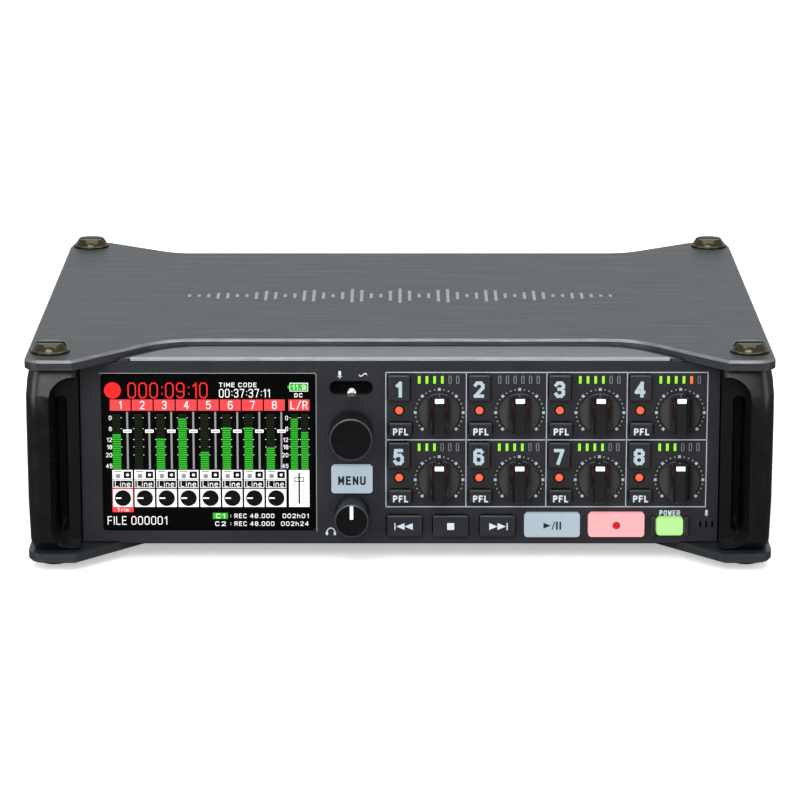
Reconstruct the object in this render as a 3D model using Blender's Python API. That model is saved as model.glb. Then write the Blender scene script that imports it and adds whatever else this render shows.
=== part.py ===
"""A portable eight-channel field recorder, built as an assembly.

Two identical metal plates clamp a sheet chassis, a moulded front panel and four corner guards.
The front carries a display, eight gain knobs, a dial, a volume knob, a toggle and the keys.
Input jacks line both sides, and the back holds the battery tray, the card door and the connectors.

Frame: X to the right, Y to the back, +Z up, origin on the floor under the middle of the plates.
Lengths below are in millimetres, and MM turns them into Blender's metres.
"""

import math

import bmesh
import bpy

MM = 0.001

# ---------------------------------------------------------------- driving dimensions
WIDTH = 178.2
DEPTH = 140.0
HEIGHT = 54.3
HEAD = 2.25  # height of a bolt head over its plate, and of a foot under it
PLATE = 2.4  # plate thickness
CHAMFER = 0.6
GAP = 0.3  # clearance between pieces that rest on each other
PLATE_LOW = HEAD
PLATE_HIGH = HEIGHT - HEAD
INNER_LOW = PLATE_LOW + PLATE + GAP
INNER_HIGH = PLATE_HIGH - PLATE - GAP

# Plate outline: a tab at each corner, and a recess between the tabs, shallower at the back.
TAB_FRONT = 77.5  # half width at which the front tab's diagonal starts
TAB_BACK = 78.8
RECESS_FRONT = -47.1
RECESS_BACK = 55.8
DIAGONAL_FRONT = math.radians(47.5)
DIAGONAL_BACK = math.radians(37.0)
RECESS_FILLET_FRONT = 16.0
RECESS_FILLET_BACK = 14.0
CORNER_RADIUS = 4.5

BOLT_X = 83.4
BOLT_FRONT = -59.9
BOLT_BACK = 64.5
BOLT_RADIUS = 1.2
HEAD_RADIUS = 4.75
HEAD_TOP_RADIUS = 3.3
SLOT_FRONT = -53.0  # where the strap slots end, in the front and in the rear guards
SLOT_BACK = 60.0

# Front panel: its face is the plane y = FACE.
FACE = -60.0
PANEL_HALF = 76.5
PANEL_BACK = -47.6
PANEL_WALL = 2.4
SKIRT = 1.0
LIP_LOW = 4.02  # the panel's lip stands in the plates' recesses
LIP_HIGH = 50.28
BOARD_FRONT = -52.0

CHASSIS_HALF = 78.0
CHASSIS_FRONT = -47.3
CHASSIS_BACK = 58.0
SHEET = 1.5

# Channel cells: four columns and two rows of one key, one lamp, one listen key and one gain knob.
CELL_LEFT = -3.39
CELL_TOP = 46.9
CELL_WIDTH = 19.24
CELL_HEIGHT = 16.64
COLUMNS = 4
ROWS = 2
KEY_PROUD = 1.2
KEY_CLEARANCE = 0.2

# Keys as (name, centre x, centre z, width, height), in millimetres on the panel's face.
NUMBER_KEY = (3.17, 3.7, 5.24, 6.45)  # in its cell: right of its left line, below its top line
LISTEN_KEY = (3.48, 13.95, 5.58, 3.5)
SINGLE_KEYS = (
    ("menu_key", -11.54, 20.6, 9.93, 6.8),
    ("rewind_key", 1.08, 9.0, 8.6, 5.4),
    ("stop_key", 12.2, 9.0, 8.6, 5.4),
    ("forward_key", 23.5, 9.0, 8.6, 5.4),
    ("play_key", 36.65, 9.2, 13.4, 5.9),
    ("record_key", 52.13, 9.25, 13.5, 5.9),
    ("power_key", 65.0, 8.9, 6.4, 4.4),
)
KNOB_IN_CELL = (12.78, 9.9)
KNOB_RADIUS = 4.75
KNOB_HEIGHT = 5.0
RIDGE_HALF = 1.15
SCOOP_RADIUS = 3.4

DIAL = (-11.67, 32.64)
DIAL_RADIUS = 5.17
DIAL_FRONT = -69.5
VOLUME = (-11.57, 12.46)
VOLUME_RADIUS = 4.14
VOLUME_FRONT = -69.0
TOGGLE = (-11.7, 43.2)
TOGGLE_SLOT = (10.0, 2.8)
TOGGLE_PIVOT = -54.0
SLATE_SLOTS = (72.4, 73.85, 75.3)
SLATE_Z = 9.2

WINDOW = (-71.66, -20.2, 7.45, 46.55)  # the display's recess: low x, high x, low z, high z
WINDOW_LEDGE = 1.25

# Sides: four combined jacks in a row, and two small connectors at the front end.
JACK_FIRST = -26.0
JACK_PITCH = 23.8
JACK_Z = 27.15
JACK_COLLAR = 10.9
JACK_BORE = 9.9
JACK_MOUTH = 6.0
PLUG_HOLE = 3.3
JACK_FRONT = 79.6
JACK_BOARD = 57.5
SMALL_Y = -42.6
SMALL_Z = (36.5, 17.5)
HOLE_CLEARANCE = 0.3

# Back: the battery tray, the card door and the connectors.
TRAY = (-54.6, -1.4, 9.0, 40.0)
TRAY_FRONT = -3.5
TRAY_WALL = 1.4
TRAY_DOOR = (-57.0, 1.0, 6.9, 45.1)
CELL_RADIUS = 7.05
CELL_ROWS_Y = (5.2, 19.6, 34.0, 48.4)
CELL_ROWS_Z = (17.8, 32.2)
CELL_ENDS = (-52.8, -3.2)
CARD_DOOR = (6.0, 36.0, 9.0, 26.0)
CARD_HINGE_Y = 59.2
CARD_HINGE_Z = 9.9
COAX = ((12.0, 36.0), (28.0, 36.0))
POWER_INLET = (46.0, 35.0)
DATA_PORT = (47.0, 22.5)
MIC_PORT = (47.5, 13.5)


# ---------------------------------------------------------------- outlines, as lists of 2-D points
def circle(radius, steps=24, x=0.0, y=0.0):
    """Points round a circle."""
    turns = (2 * math.pi * i / steps for i in range(steps))
    return [(x + radius * math.cos(t), y + radius * math.sin(t)) for t in turns]


def rounded(width, height, radius, steps=3, x=0.0, y=0.0):
    """A rectangle with round corners, centred on x, y."""
    points = []
    for quarter, (sx, sy) in enumerate(((1, 1), (-1, 1), (-1, -1), (1, -1))):
        cx = x + sx * (width / 2 - radius)
        cy = y + sy * (height / 2 - radius)
        for i in range(steps + 1):
            turn = math.pi / 2 * (quarter + i / steps)
            points.append((cx + radius * math.cos(turn), cy + radius * math.sin(turn)))
    return points


def recess_edge(line, tab_half, tab_y, slope, fillet, inset, steps=8):
    """Half of a recess in a plate's long edge, from its middle to the tab. inset moves it into the plate."""
    out = 1 if tab_y > line else -1
    line -= out * inset
    radius = fillet + inset
    tab_y -= out * inset
    tab_half += inset * (1 / math.sin(slope) - 1 / math.tan(slope))
    corner = tab_half - abs(tab_y - line) / math.tan(slope)
    start = corner - radius * math.tan(slope / 2)
    points = []
    for i in range(steps + 1):
        turn = slope * i / steps
        points.append((start + radius * math.sin(turn), line + out * radius * (1 - math.cos(turn))))
    return points + [(tab_half, tab_y)]


def plate_outline(inset=0.0):
    """The plate seen from above, going round from the front recess's right half."""
    half_x = WIDTH / 2
    half_y = DEPTH / 2
    front = recess_edge(RECESS_FRONT, TAB_FRONT, -half_y, DIAGONAL_FRONT, RECESS_FILLET_FRONT, inset)
    back = recess_edge(RECESS_BACK, TAB_BACK, half_y, DIAGONAL_BACK, RECESS_FILLET_BACK, inset)
    right = list(front)
    for cy, first in ((-half_y + CORNER_RADIUS, -90), (half_y - CORNER_RADIUS, 0)):
        for i in range(6):
            turn = math.radians(first + 18 * i)
            radius = CORNER_RADIUS - inset
            right.append((half_x - CORNER_RADIUS + radius * math.cos(turn), cy + radius * math.sin(turn)))
    right += back[::-1]
    return right + [(-x, y) for x, y in right[::-1]]


def lip_outline(front):
    """The front panel's lip, which follows the plates' front recess at a clearance and ends at y = front."""
    slack = 0.5
    points = recess_edge(RECESS_FRONT, TAB_FRONT, -DEPTH / 2, DIAGONAL_FRONT, RECESS_FILLET_FRONT, -slack)[:-1]
    x, y = points[-1]
    points.append((x + (y - front) / math.tan(DIAGONAL_FRONT), front))
    return points + [(-x, y) for x, y in points[::-1]]


# ---------------------------------------------------------------- shapes, as (points, faces)
def level(outline, z):
    return [(x, y, z) for x, y in outline]


def facing_front(outline, y):
    return [(x, y, z) for x, z in outline]


def facing_side(outline, x):
    return [(x, y, z) for y, z in outline]


def loft(rings):
    """A closed shape through rings of equally many points, with its two ends filled."""
    count = len(rings[0])
    points = [p for ring in rings for p in ring]
    faces = [tuple(range(count)), tuple(range(len(points) - count, len(points)))]
    for first in range(0, len(points) - count, count):
        for i in range(count):
            j = (i + 1) % count
            faces.append((first + i, first + j, first + count + j, first + count + i))
    return points, faces


def block(low, high):
    """A box between two corners."""
    (x0, y0, z0), (x1, y1, z1) = low, high
    outline = [(x0, y0), (x1, y0), (x1, y1), (x0, y1)]
    return loft([level(outline, z0), level(outline, z1)])


def turned(profile, place, steps=24, x=0.0, y=0.0):
    """A round shape through (radius, height) pairs. place is level, facing_front or facing_side."""
    return loft([place(circle(radius, steps, x, y), height) for radius, height in profile])


def together(*shapes):
    """Shapes that don't touch, as one."""
    points, faces = [], []
    for more_points, more_faces in shapes:
        faces += [tuple(i + len(points) for i in face) for face in more_faces]
        points += more_points
    return points, faces


def mirrored(shape):
    points, faces = shape
    return [(-x, y, z) for x, y, z in points], faces


# ---------------------------------------------------------------- objects
def material(name, colour, roughness, metallic=0.0):
    made = bpy.data.materials.new(name)
    made.use_nodes = True
    shader = made.node_tree.nodes["Principled BSDF"]
    shader.inputs["Base Color"].default_value = (*colour, 1.0)
    shader.inputs["Roughness"].default_value = roughness
    shader.inputs["Metallic"].default_value = metallic
    return made


def mesh_of(name, shape):
    points, faces = shape
    mesh = bpy.data.meshes.new(name)
    mesh.from_pydata([[c * MM for c in p] for p in points], [], faces)
    work = bmesh.new()
    work.from_mesh(mesh)
    bmesh.ops.recalc_face_normals(work, faces=work.faces)
    work.to_mesh(mesh)
    work.free()
    return mesh


def piece(name, mesh, finish, origin=(0.0, 0.0, 0.0)):
    """An object that shows mesh with its origin at origin, in millimetres."""
    made = bpy.data.objects.new(name, mesh)
    made.location = [c * MM for c in origin]
    bpy.context.scene.collection.objects.link(made)
    if finish and finish.name not in mesh.materials:
        mesh.materials.append(finish)
    mesh.shade_smooth()
    mesh.set_sharp_from_angle(angle=math.radians(35))
    return made


def change(target, shape, operation):
    """Adds or takes away a shape with a Boolean, and hides the helper that holds it."""
    helper = bpy.data.objects.new(f"{target.name}_{operation.lower()}", mesh_of("helper", shape))
    helper.location = target.location
    helper.hide_render = True
    helper.display_type = "WIRE"
    bpy.context.scene.collection.objects.link(helper)
    step = target.modifiers.new(operation.title(), "BOOLEAN")
    step.operation = operation
    step.object = helper


def cut(target, *shapes):
    change(target, together(*shapes), "DIFFERENCE")


def add(target, *shapes):
    change(target, together(*shapes), "UNION")


def finished_mesh(target):
    """The mesh that target's modifiers make, to be shared by copies."""
    bpy.context.view_layer.update()
    graph = bpy.context.evaluated_depsgraph_get()
    mesh = bpy.data.meshes.new_from_object(target.evaluated_get(graph))
    mesh.name = f"{target.name}_shape"
    return mesh


# ---------------------------------------------------------------- positions on the front panel
def in_cell(index, right, below):
    """The place right of and below a channel cell's top left corner."""
    column, row = index % COLUMNS, index // COLUMNS
    return CELL_LEFT + column * CELL_WIDTH + right, CELL_TOP - row * CELL_HEIGHT - below


def all_keys():
    """Every key as (name, centre x, centre z, width, height)."""
    keys = list(SINGLE_KEYS)
    for index in range(COLUMNS * ROWS):
        for label, (right, below, width, height) in (("track_key", NUMBER_KEY), ("listen_key", LISTEN_KEY)):
            x, z = in_cell(index, right, below)
            keys.append((f"{label}_{index + 1}", x, z, width, height))
    return keys


# ---------------------------------------------------------------- the pieces
def build_plates(finish):
    faces = (("top_plate", PLATE_HIGH, PLATE_HIGH - PLATE), ("bottom_plate", PLATE_LOW, PLATE_LOW + PLATE))
    for name, outer, inner in faces:
        inward = 1 if inner > outer else -1
        shape = loft(
            [
                level(plate_outline(CHAMFER), outer),
                level(plate_outline(), outer + inward * CHAMFER),
                level(plate_outline(), inner),
            ]
        )
        plate = piece(name, mesh_of(name, shape), finish)
        below, above = min(outer, inner) - 1, max(outer, inner) + 1
        wall = [(BOLT_RADIUS + 0.2, below), (BOLT_RADIUS + 0.2, above)]
        places = [(sx * BOLT_X, y) for sx in (-1, 1) for y in (BOLT_FRONT, BOLT_BACK)]
        holes = [turned(wall, level, 16, *place) for place in places]
        if name == "bottom_plate":
            holes.append(turned([(3.2, inner + 1), (3.2, outer - 1)], level, 20))
        cut(plate, *holes)


def build_bolts(finish):
    """Each bolt runs through both plates and a guard: a slotted head above, and a round foot below."""
    rim, shank = HEAD_RADIUS, BOLT_RADIUS
    seat_high = PLATE_HIGH + 0.15
    seat_low = PLATE_LOW - 0.15
    profile = [
        (HEAD_TOP_RADIUS, 0.0),
        (rim - 0.4, 1.3),
        (rim, 1.5),
        (rim, seat_low),
        (shank, seat_low),
        (shank, seat_high),
        (rim, seat_high),
        (rim, HEIGHT - 1.5),
        (rim - 0.4, HEIGHT - 1.3),
        (HEAD_TOP_RADIUS, HEIGHT),
    ]
    first = piece("bolt_pattern_piece", mesh_of("bolt", turned(profile, level, 16)), finish)
    cut(first, block((-6, -0.7, HEIGHT - 1.1), (6, 0.7, HEIGHT + 1)))
    shared = finished_mesh(first)
    for helper in ("bolt_pattern_piece_difference", "bolt_pattern_piece"):
        bpy.data.objects.remove(bpy.data.objects[helper])
    for end, y in (("front", BOLT_FRONT), ("rear", BOLT_BACK)):
        for side, sx in (("left", -1), ("right", 1)):
            piece(f"tie_bolt_{end}_{side}", shared, finish, (sx * BOLT_X, y, 0))


def guard_shape(out, front, back):
    """A corner guard's right-hand block. out is the way it faces along Y; its top and bottom lean back."""
    inner, outer, corner = PANEL_HALF + GAP, 88.9, 3.6

    def outline(lean, tuck):
        face = front - out * lean
        side = outer - tuck
        points = [(inner, back), (inner, face - out * 0.8), (inner + 0.8, face)]
        for i in range(3):
            turn = math.pi / 4 * i
            along, across = corner * math.sin(turn), corner * (1 - math.cos(turn))
            points.append((side - corner + along, face - out * across))
        return points + [(side, back)]

    return loft(
        [
            level(outline(1.4, 0.6), INNER_LOW),
            level(outline(0.0, 0.0), INNER_LOW + 2.4),
            level(outline(0.0, 0.0), INNER_HIGH - 6.0),
            level(outline(0.9, 0.15), INNER_HIGH - 3.0),
            level(outline(2.2, 0.7), INNER_HIGH),
        ]
    )


def build_guards(finish):
    """Four guards stand between the plates' tabs. Each has a recess towards the panel, with a slot in it."""
    ends = (
        ("front", -1, -62.0, -68.8, -50.0, BOLT_FRONT, SLOT_FRONT),
        ("rear", 1, 63.0, 69.2, 58.4, BOLT_BACK, SLOT_BACK),
    )
    for end, out, web_line, front, back, bolt, slot_end in ends:
        shape = guard_shape(out, front, back)
        bolt_hole = turned([(BOLT_RADIUS + 0.2, 2), (BOLT_RADIUS + 0.2, 52)], level, 16, BOLT_X, bolt)
        slot = rounded(2.1, 33.0, 1.0, 3, 80.6, 24.8)
        strap_slot = loft([facing_front(slot, front + out), facing_front(slot, slot_end)])
        hollow = rounded(13.0, 42.4, 5.4, 3, 76.45, 26.2)
        recess = loft([facing_front(hollow, front + out * 2), facing_front(hollow, web_line)])
        for side, turn in (("left", mirrored), ("right", lambda s: s)):
            name = f"guard_{end}_{side}"
            guard = piece(name, mesh_of(name, turn(shape)), finish)
            for shape_out in (recess, strap_slot, bolt_hole):
                cut(guard, turn(shape_out))


def build_front_panel(finish):
    """The moulded front: a box open at the back, whose lip stands in the plates' recesses."""
    name = "front_panel"
    body = block((-PANEL_HALF, FACE, INNER_LOW), (PANEL_HALF, PANEL_BACK, INNER_HIGH))
    panel = piece(name, mesh_of(name, body), finish)
    lip, eased = lip_outline(FACE), lip_outline(FACE + 1.4)
    heights = ((eased, LIP_LOW), (lip, LIP_LOW + 0.6), (lip, LIP_HIGH - 0.6), (eased, LIP_HIGH))
    add(panel, loft([level(outline, z) for outline, z in heights]))
    inside = PANEL_HALF - SKIRT
    wall = FACE + PANEL_WALL
    cut(panel, block((-inside, wall, INNER_LOW + SKIRT), (inside, PANEL_BACK + 1, INNER_HIGH - SKIRT)))

    def through(outline):
        return loft([facing_front(outline, FACE - 1), facing_front(outline, wall + 1)])

    holes = []
    for _, x, z, width, height in all_keys():
        holes.append(through(rounded(width + 2 * KEY_CLEARANCE, height + 2 * KEY_CLEARANCE, 0.8, 1, x, z)))
    for index in range(COLUMNS * ROWS):
        holes.append(through(circle(3.1, 12, *in_cell(index, *KNOB_IN_CELL))))
    for place in (DIAL, VOLUME):
        holes.append(through(circle(3.3, 12, *place)))
    holes.append(through(rounded(*TOGGLE_SLOT, 1.35, 3, *TOGGLE)))
    for x in SLATE_SLOTS:
        holes.append(through(rounded(0.5, 1.8, 0.24, 1, x, SLATE_Z)))
    x0, x1, z0, z1 = WINDOW
    middle = ((x0 + x1) / 2, (z0 + z1) / 2)
    recess = rounded(x1 - x0, z1 - z0, 0.8, 2, *middle)
    opening = rounded(x1 - x0 - 2 * WINDOW_LEDGE, z1 - z0 - 2 * WINDOW_LEDGE, 0.5, 2, *middle)
    ledge = FACE + 1.8
    stepped = [(recess, FACE - 1), (recess, ledge), (opening, ledge), (opening, wall + 1)]
    holes.append(loft([facing_front(outline, y) for outline, y in stepped]))
    cut(panel, *holes)
    ribs = [block((x, FACE - 1.0, 6.7), (x + 1.1, FACE + 0.5, 10.9)) for x in (60.4, 68.5)]
    add(panel, *ribs)


def build_display(glass, plate):
    x0, x1, z0, z1 = WINDOW
    middle = ((x0 + x1) / 2, (z0 + z1) / 2)
    pane = rounded(x1 - x0 - 2 * 0.25, z1 - z0 - 2 * 0.25, 0.7, 2, *middle)
    soft = rounded(x1 - x0 - 2 * 0.4, z1 - z0 - 2 * 0.4, 0.6, 2, *middle)
    rings = [facing_front(pane, FACE + 1.5), facing_front(pane, FACE + 0.45), facing_front(soft, FACE + 0.3)]
    piece("display_window", mesh_of("display_window", loft(rings)), glass)
    back = rounded(x1 - x0 - 0.6, z1 - z0 - 0.8, 0.5, 1, *middle)
    rings = [facing_front(back, FACE + PANEL_WALL + GAP), facing_front(back, FACE + 6.4)]
    piece("display_module", mesh_of("display_module", loft(rings)), plate)


def key_mesh(name, width, height):
    """A key about its own centre on the panel's face: a cap that stands proud, and a flange at the back."""
    radius, soft, flange = 0.7, 0.3, 0.6
    behind = PANEL_WALL + GAP
    wide = rounded(width + 2 * flange, height, radius, 1)
    cap = rounded(width, height, radius, 1)
    top = rounded(width - 2 * soft, height - 2 * soft, radius - soft, 1)
    rings = [(wide, behind + 1.0), (wide, behind), (cap, behind), (cap, soft - KEY_PROUD), (top, -KEY_PROUD)]
    return mesh_of(name, loft([facing_front(outline, y) for outline, y in rings]))


def build_keys(finishes):
    shared = {}
    for name, x, z, width, height in all_keys():
        size = (width, height)
        finish = finishes.get(name, finishes["dark"])
        if size not in shared or name in finishes:
            shared[size] = key_mesh(f"{name}_shape", width, height)
        piece(name, shared[size], finish, (x, FACE, z))


def build_gain_knobs(finish):
    """Pinch knobs: a round skirt, and two hollows that leave a ridge across the middle."""
    high = -KNOB_HEIGHT
    foot = KNOB_RADIUS + 0.2
    profile = [(2.6, 6.4), (2.6, -0.35), (foot, -0.35), (foot, -1.1), (KNOB_RADIUS, -1.4)]
    profile += [(KNOB_RADIUS - 0.15, high + 0.7), (KNOB_RADIUS - 0.75, high)]
    first = piece("knob_pattern_piece", mesh_of("knob", turned(profile, facing_front, 20)), finish)
    hollow_x = RIDGE_HALF + SCOOP_RADIUS
    hollows = [
        loft([level(circle(SCOOP_RADIUS, 14, sx * hollow_x, high - 0.2), z) for z in (-8, 8)])
        for sx in (-1, 1)
    ]
    cut(first, *hollows)
    shared = finished_mesh(first)
    for helper in ("knob_pattern_piece_difference", "knob_pattern_piece"):
        bpy.data.objects.remove(bpy.data.objects[helper])
    for index in range(COLUMNS * ROWS):
        x, z = in_cell(index, *KNOB_IN_CELL)
        piece(f"gain_knob_{index + 1}", shared, finish, (x, FACE, z))


def build_round_knobs(finish, steel, dark):
    """The push dial with its shaft and plunger, and the headphone volume knob."""
    x, z = DIAL
    reach = DIAL_FRONT - FACE
    rim = [(DIAL_RADIUS, -0.6), (DIAL_RADIUS, reach + 0.35), (DIAL_RADIUS - 0.35, reach)]
    dial = piece("dial_knob", mesh_of("dial_knob", turned(rim, facing_front, 24)), finish, (x, FACE, z))
    cut(dial, turned([(2.9, 1.0), (2.9, reach + 2.4)], facing_front, 12))
    shaft = turned([(2.6, 5.4), (2.6, reach + 2.7)], facing_front, 12)
    piece("dial_shaft", mesh_of("dial_shaft", shaft), steel, (x, FACE, z))
    plunger = turned([(2.4, 7.2), (3.2, 6.6), (3.2, 5.7)], facing_front, 12)
    piece("dial_plunger", mesh_of("dial_plunger", plunger), dark, (x, FACE, z))
    x, z = VOLUME
    reach = VOLUME_FRONT - FACE
    rim = [(2.8, 6.4), (2.8, -0.5), (VOLUME_RADIUS, -0.5)]
    rim += [(VOLUME_RADIUS, reach + 0.3), (VOLUME_RADIUS - 0.3, reach)]
    volume = mesh_of("volume_knob", turned(rim, facing_front, 20))
    piece("volume_knob", volume, finish, (x, FACE, z))


def build_toggle(finish):
    """A lever with a ball end, which rocks on a small crosspiece behind the panel."""
    x, z = TOGGLE
    stem = [(0.55, 0.6), (0.65, -3.0), (0.62, -7.5), (0.8, -9.4)]
    ball = [(1.12, -10.3), (1.27, -11.2), (1.1, -12.1), (0.6, -12.6)]
    lever = mesh_of("toggle_lever", turned(stem + ball, facing_front, 12))
    made = piece("toggle_lever", lever, finish, (x, TOGGLE_PIVOT, z))
    add(made, turned([(0.8, -1.3), (0.8, 1.3)], level, 8))


def build_chassis(finish):
    """A sheet-metal box, open at the front, with holes for the jacks and the back's connectors."""
    name = "chassis"
    shell = block((-CHASSIS_HALF, CHASSIS_FRONT, INNER_LOW), (CHASSIS_HALF, CHASSIS_BACK, INNER_HIGH))
    made = piece(name, mesh_of(name, shell), finish)
    inside = CHASSIS_HALF - SHEET
    low, high = INNER_LOW + SHEET, INNER_HIGH - SHEET
    cut(made, block((-inside, CHASSIS_FRONT - 1, low), (inside, CHASSIS_BACK - SHEET, high)))
    across = []
    for i in range(4):
        y = JACK_FIRST + i * JACK_PITCH
        across.append(circle(JACK_COLLAR + HOLE_CLEARANCE, 16, y, JACK_Z))
    across += [circle(4.6 + HOLE_CLEARANCE, 12, SMALL_Y, z) for z in SMALL_Z]
    for sx in (-1, 1):
        near, far = sx * (inside - 1), sx * (CHASSIS_HALF + 1)
        cut(made, *[loft([facing_side(outline, near), facing_side(outline, far)]) for outline in across])
    x0, x1, z0, z1 = TRAY
    backs = [rounded(x1 - x0 + 1.2, z1 - z0 + 1.2, 0.8, 1, (x0 + x1) / 2, (z0 + z1) / 2)]
    backs.append(rounded(27.6, 13.4, 0.8, 1, 21.0, 17.5))
    backs += [circle(5.3, 16, *place) for place in COAX]
    backs.append(circle(6.4, 16, *POWER_INLET))
    backs.append(rounded(9.6, 3.9, 1.5, 3, *DATA_PORT))
    backs.append(rounded(16.6, 8.0, 1.0, 2, *MIC_PORT))
    near, far = CHASSIS_BACK - SHEET - 1, CHASSIS_BACK + 1
    cut(made, *[loft([facing_front(outline, near), facing_front(outline, far)]) for outline in backs])


def build_jack_banks(finish):
    """Each side's jacks stand on one board. The right bank ends in two headphone jacks, the left in outputs."""
    places = [JACK_FIRST + i * JACK_PITCH for i in range(4)]
    for side, sx, small_hole, small_depth in (("left", -1, (3.6, 3.6), 9.0), ("right", 1, (3.2, 1.8), 16.0)):

        def along(outline, near, far):
            return loft([facing_side(outline, sx * near), facing_side(outline, sx * far)])

        name = f"{side}_jack_bank"
        low_x, high_x = sorted((sx * JACK_BOARD, sx * (JACK_BOARD + 1.5)))
        board = block((low_x, -46.6, 8.0), (high_x, 56.0, 46.0))
        bank = piece(name, mesh_of(name, board), finish)
        seat = CHASSIS_HALF - SHEET - GAP
        bodies = [along(rounded(21.6, 27.0, 1.0, 1, y, JACK_Z), JACK_BOARD + 0.5, seat) for y in places]
        bodies += [along(rounded(8.8, 11.0, 0.6, 1, SMALL_Y, z), JACK_BOARD + 0.5, seat) for z in SMALL_Z]
        add(bank, *bodies)
        collars = [along(circle(JACK_COLLAR, 16, y, JACK_Z), seat - 2, JACK_FRONT) for y in places]
        collars += [along(circle(4.3, 12, SMALL_Y, z), seat - 2, JACK_FRONT) for z in SMALL_Z]
        add(bank, *collars)
        floor = JACK_FRONT - JACK_MOUTH
        holes = []
        for y in places:
            bore, hole = circle(JACK_BORE, 16, y, JACK_Z), circle(PLUG_HOLE, 16, y, JACK_Z)
            steps = ((bore, JACK_FRONT + 1), (bore, floor), (hole, floor), (hole, floor - 12.5))
            holes.append(loft([facing_side(outline, sx * x) for outline, x in steps]))
        for radius, z in zip(small_hole, SMALL_Z):
            holes.append(along(circle(radius, 12, SMALL_Y, z), JACK_FRONT - small_depth, JACK_FRONT + 1))
        cut(bank, *holes)


def build_back_connectors(finish):
    """The coax pair, the power inlet, the data and microphone ports and the card sockets, on one board."""

    def along(outline, near, far):
        return loft([facing_front(outline, near), facing_front(outline, far)])

    name = "rear_connector_bank"
    bank = piece(name, mesh_of(name, block((2.5, 47.0, 8.0), (57.0, 48.4, 45.2))), finish)
    bodies = [along(circle(4.9, 16, *place), 47.7, 68.0) for place in COAX]
    bodies.append(along(circle(6.0, 16, *POWER_INLET), 47.7, 60.8))
    bodies.append(along(rounded(9.0, 3.3, 1.4, 3, *DATA_PORT), 47.7, 58.8))
    bodies.append(along(rounded(16.0, 7.4, 0.8, 2, *MIC_PORT), 47.7, 57.8))
    bodies.append(along(rounded(26.8, 12.6, 0.6, 1, 21.0, 17.5), 30.0, 57.2))
    add(bank, *bodies)
    holes = [along(circle(3.9, 16, *place), 64.2, 69.0) for place in COAX]
    holes.append(along(circle(4.6, 16, *POWER_INLET), 57.4, 62.0))
    holes.append(along(rounded(8.2, 2.5, 1.1, 3, *DATA_PORT), 55.6, 60.0))
    holes.append(along(rounded(14.4, 5.4, 0.6, 2, *MIC_PORT), 52.4, 59.0))
    holes += [along(rounded(23.0, 2.4, 0.4, 1, 21.0, z), 33.0, 59.0) for z in (14.8, 20.2)]
    cut(bank, *holes)


def build_back_covers(tray_finish, door_finish, cap_finish, cell_finish):
    x0, x1, z0, z1 = TRAY
    door_x0, door_x1, door_z0, door_z1 = TRAY_DOOR
    door_y = CHASSIS_BACK + GAP
    box = block((x0, TRAY_FRONT, z0), (x1, door_y + 0.6, z1))
    tray = piece("battery_tray", mesh_of("battery_tray", box), tray_finish)
    wall = TRAY_WALL
    cut(tray, block((x0 + wall, TRAY_FRONT + wall, z0 + wall), (x1 - wall, CHASSIS_BACK - 1.2, z1 + 1)))
    wide, high = door_x1 - door_x0, door_z1 - door_z0
    middle = ((door_x0 + door_x1) / 2, (door_z0 + door_z1) / 2)
    face = rounded(wide, high, 2.0, 3, *middle)
    small = rounded(wide - 1, high - 1, 1.5, 3, *middle)
    rings = [facing_front(face, door_y), facing_front(face, door_y + 1.7), facing_front(small, door_y + 2.2)]
    add(tray, loft(rings))
    grip = rounded(14.0, 6.0, 2.9, 4, (door_x0 + door_x1) / 2, door_z1 - 6)
    cut(tray, loft([facing_front(grip, door_y + 1.3), facing_front(grip, door_y + 3)]))

    near, far = CELL_ENDS
    cells = [
        loft([facing_side(circle(CELL_RADIUS, 12, y, z), x) for x in (near, far)])
        for y in CELL_ROWS_Y
        for z in CELL_ROWS_Z
    ]
    strip = block((near + 0.2, 0.5, 15.0), (near + 0.8, 53.0, 35.0))
    pack = piece("battery_cells", mesh_of("battery_cells", strip), cell_finish)
    add(pack, *cells)

    left, right, low, high = CARD_DOOR
    hinge = (0, CARD_HINGE_Y, CARD_HINGE_Z)
    front, back = CHASSIS_BACK + GAP - CARD_HINGE_Y, CHASSIS_BACK + 2.1 - CARD_HINGE_Y
    wide, tall = right - left, high - low
    middle = ((left + right) / 2, (low + high) / 2 - CARD_HINGE_Z)
    flap = rounded(wide, tall, 1.2, 3, *middle)
    eased = rounded(wide - 0.8, tall - 0.8, 0.9, 3, *middle)
    faces = ((eased, front), (flap, front + 0.5), (flap, back - 0.4), (eased, back))
    rings = [facing_front(outline, y) for outline, y in faces]
    piece("card_door", mesh_of("card_door", loft(rings)), door_finish, hinge)

    cap = rounded(18.6, 10.2, 1.5, 3, *MIC_PORT)
    cap_soft = rounded(17.6, 9.2, 1.2, 3, *MIC_PORT)
    rings = [facing_front(cap, door_y), facing_front(cap, door_y + 1.2), facing_front(cap_soft, door_y + 1.7)]
    piece("mic_port_cap", mesh_of("mic_port_cap", loft(rings)), cap_finish)


def build_boards(finish):
    main = block((-56.0, -44.0, 44.2), (56.0, 45.0, 45.8))
    piece("main_board", mesh_of("main_board", main), finish)
    control = block((-74.0, BOARD_FRONT, 7.5), (74.0, BOARD_FRONT + 1.4, 46.8))
    piece("control_board", mesh_of("control_board", control), finish)


def clear_scene():
    for old in list(bpy.data.objects):
        bpy.data.objects.remove(old)


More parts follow.
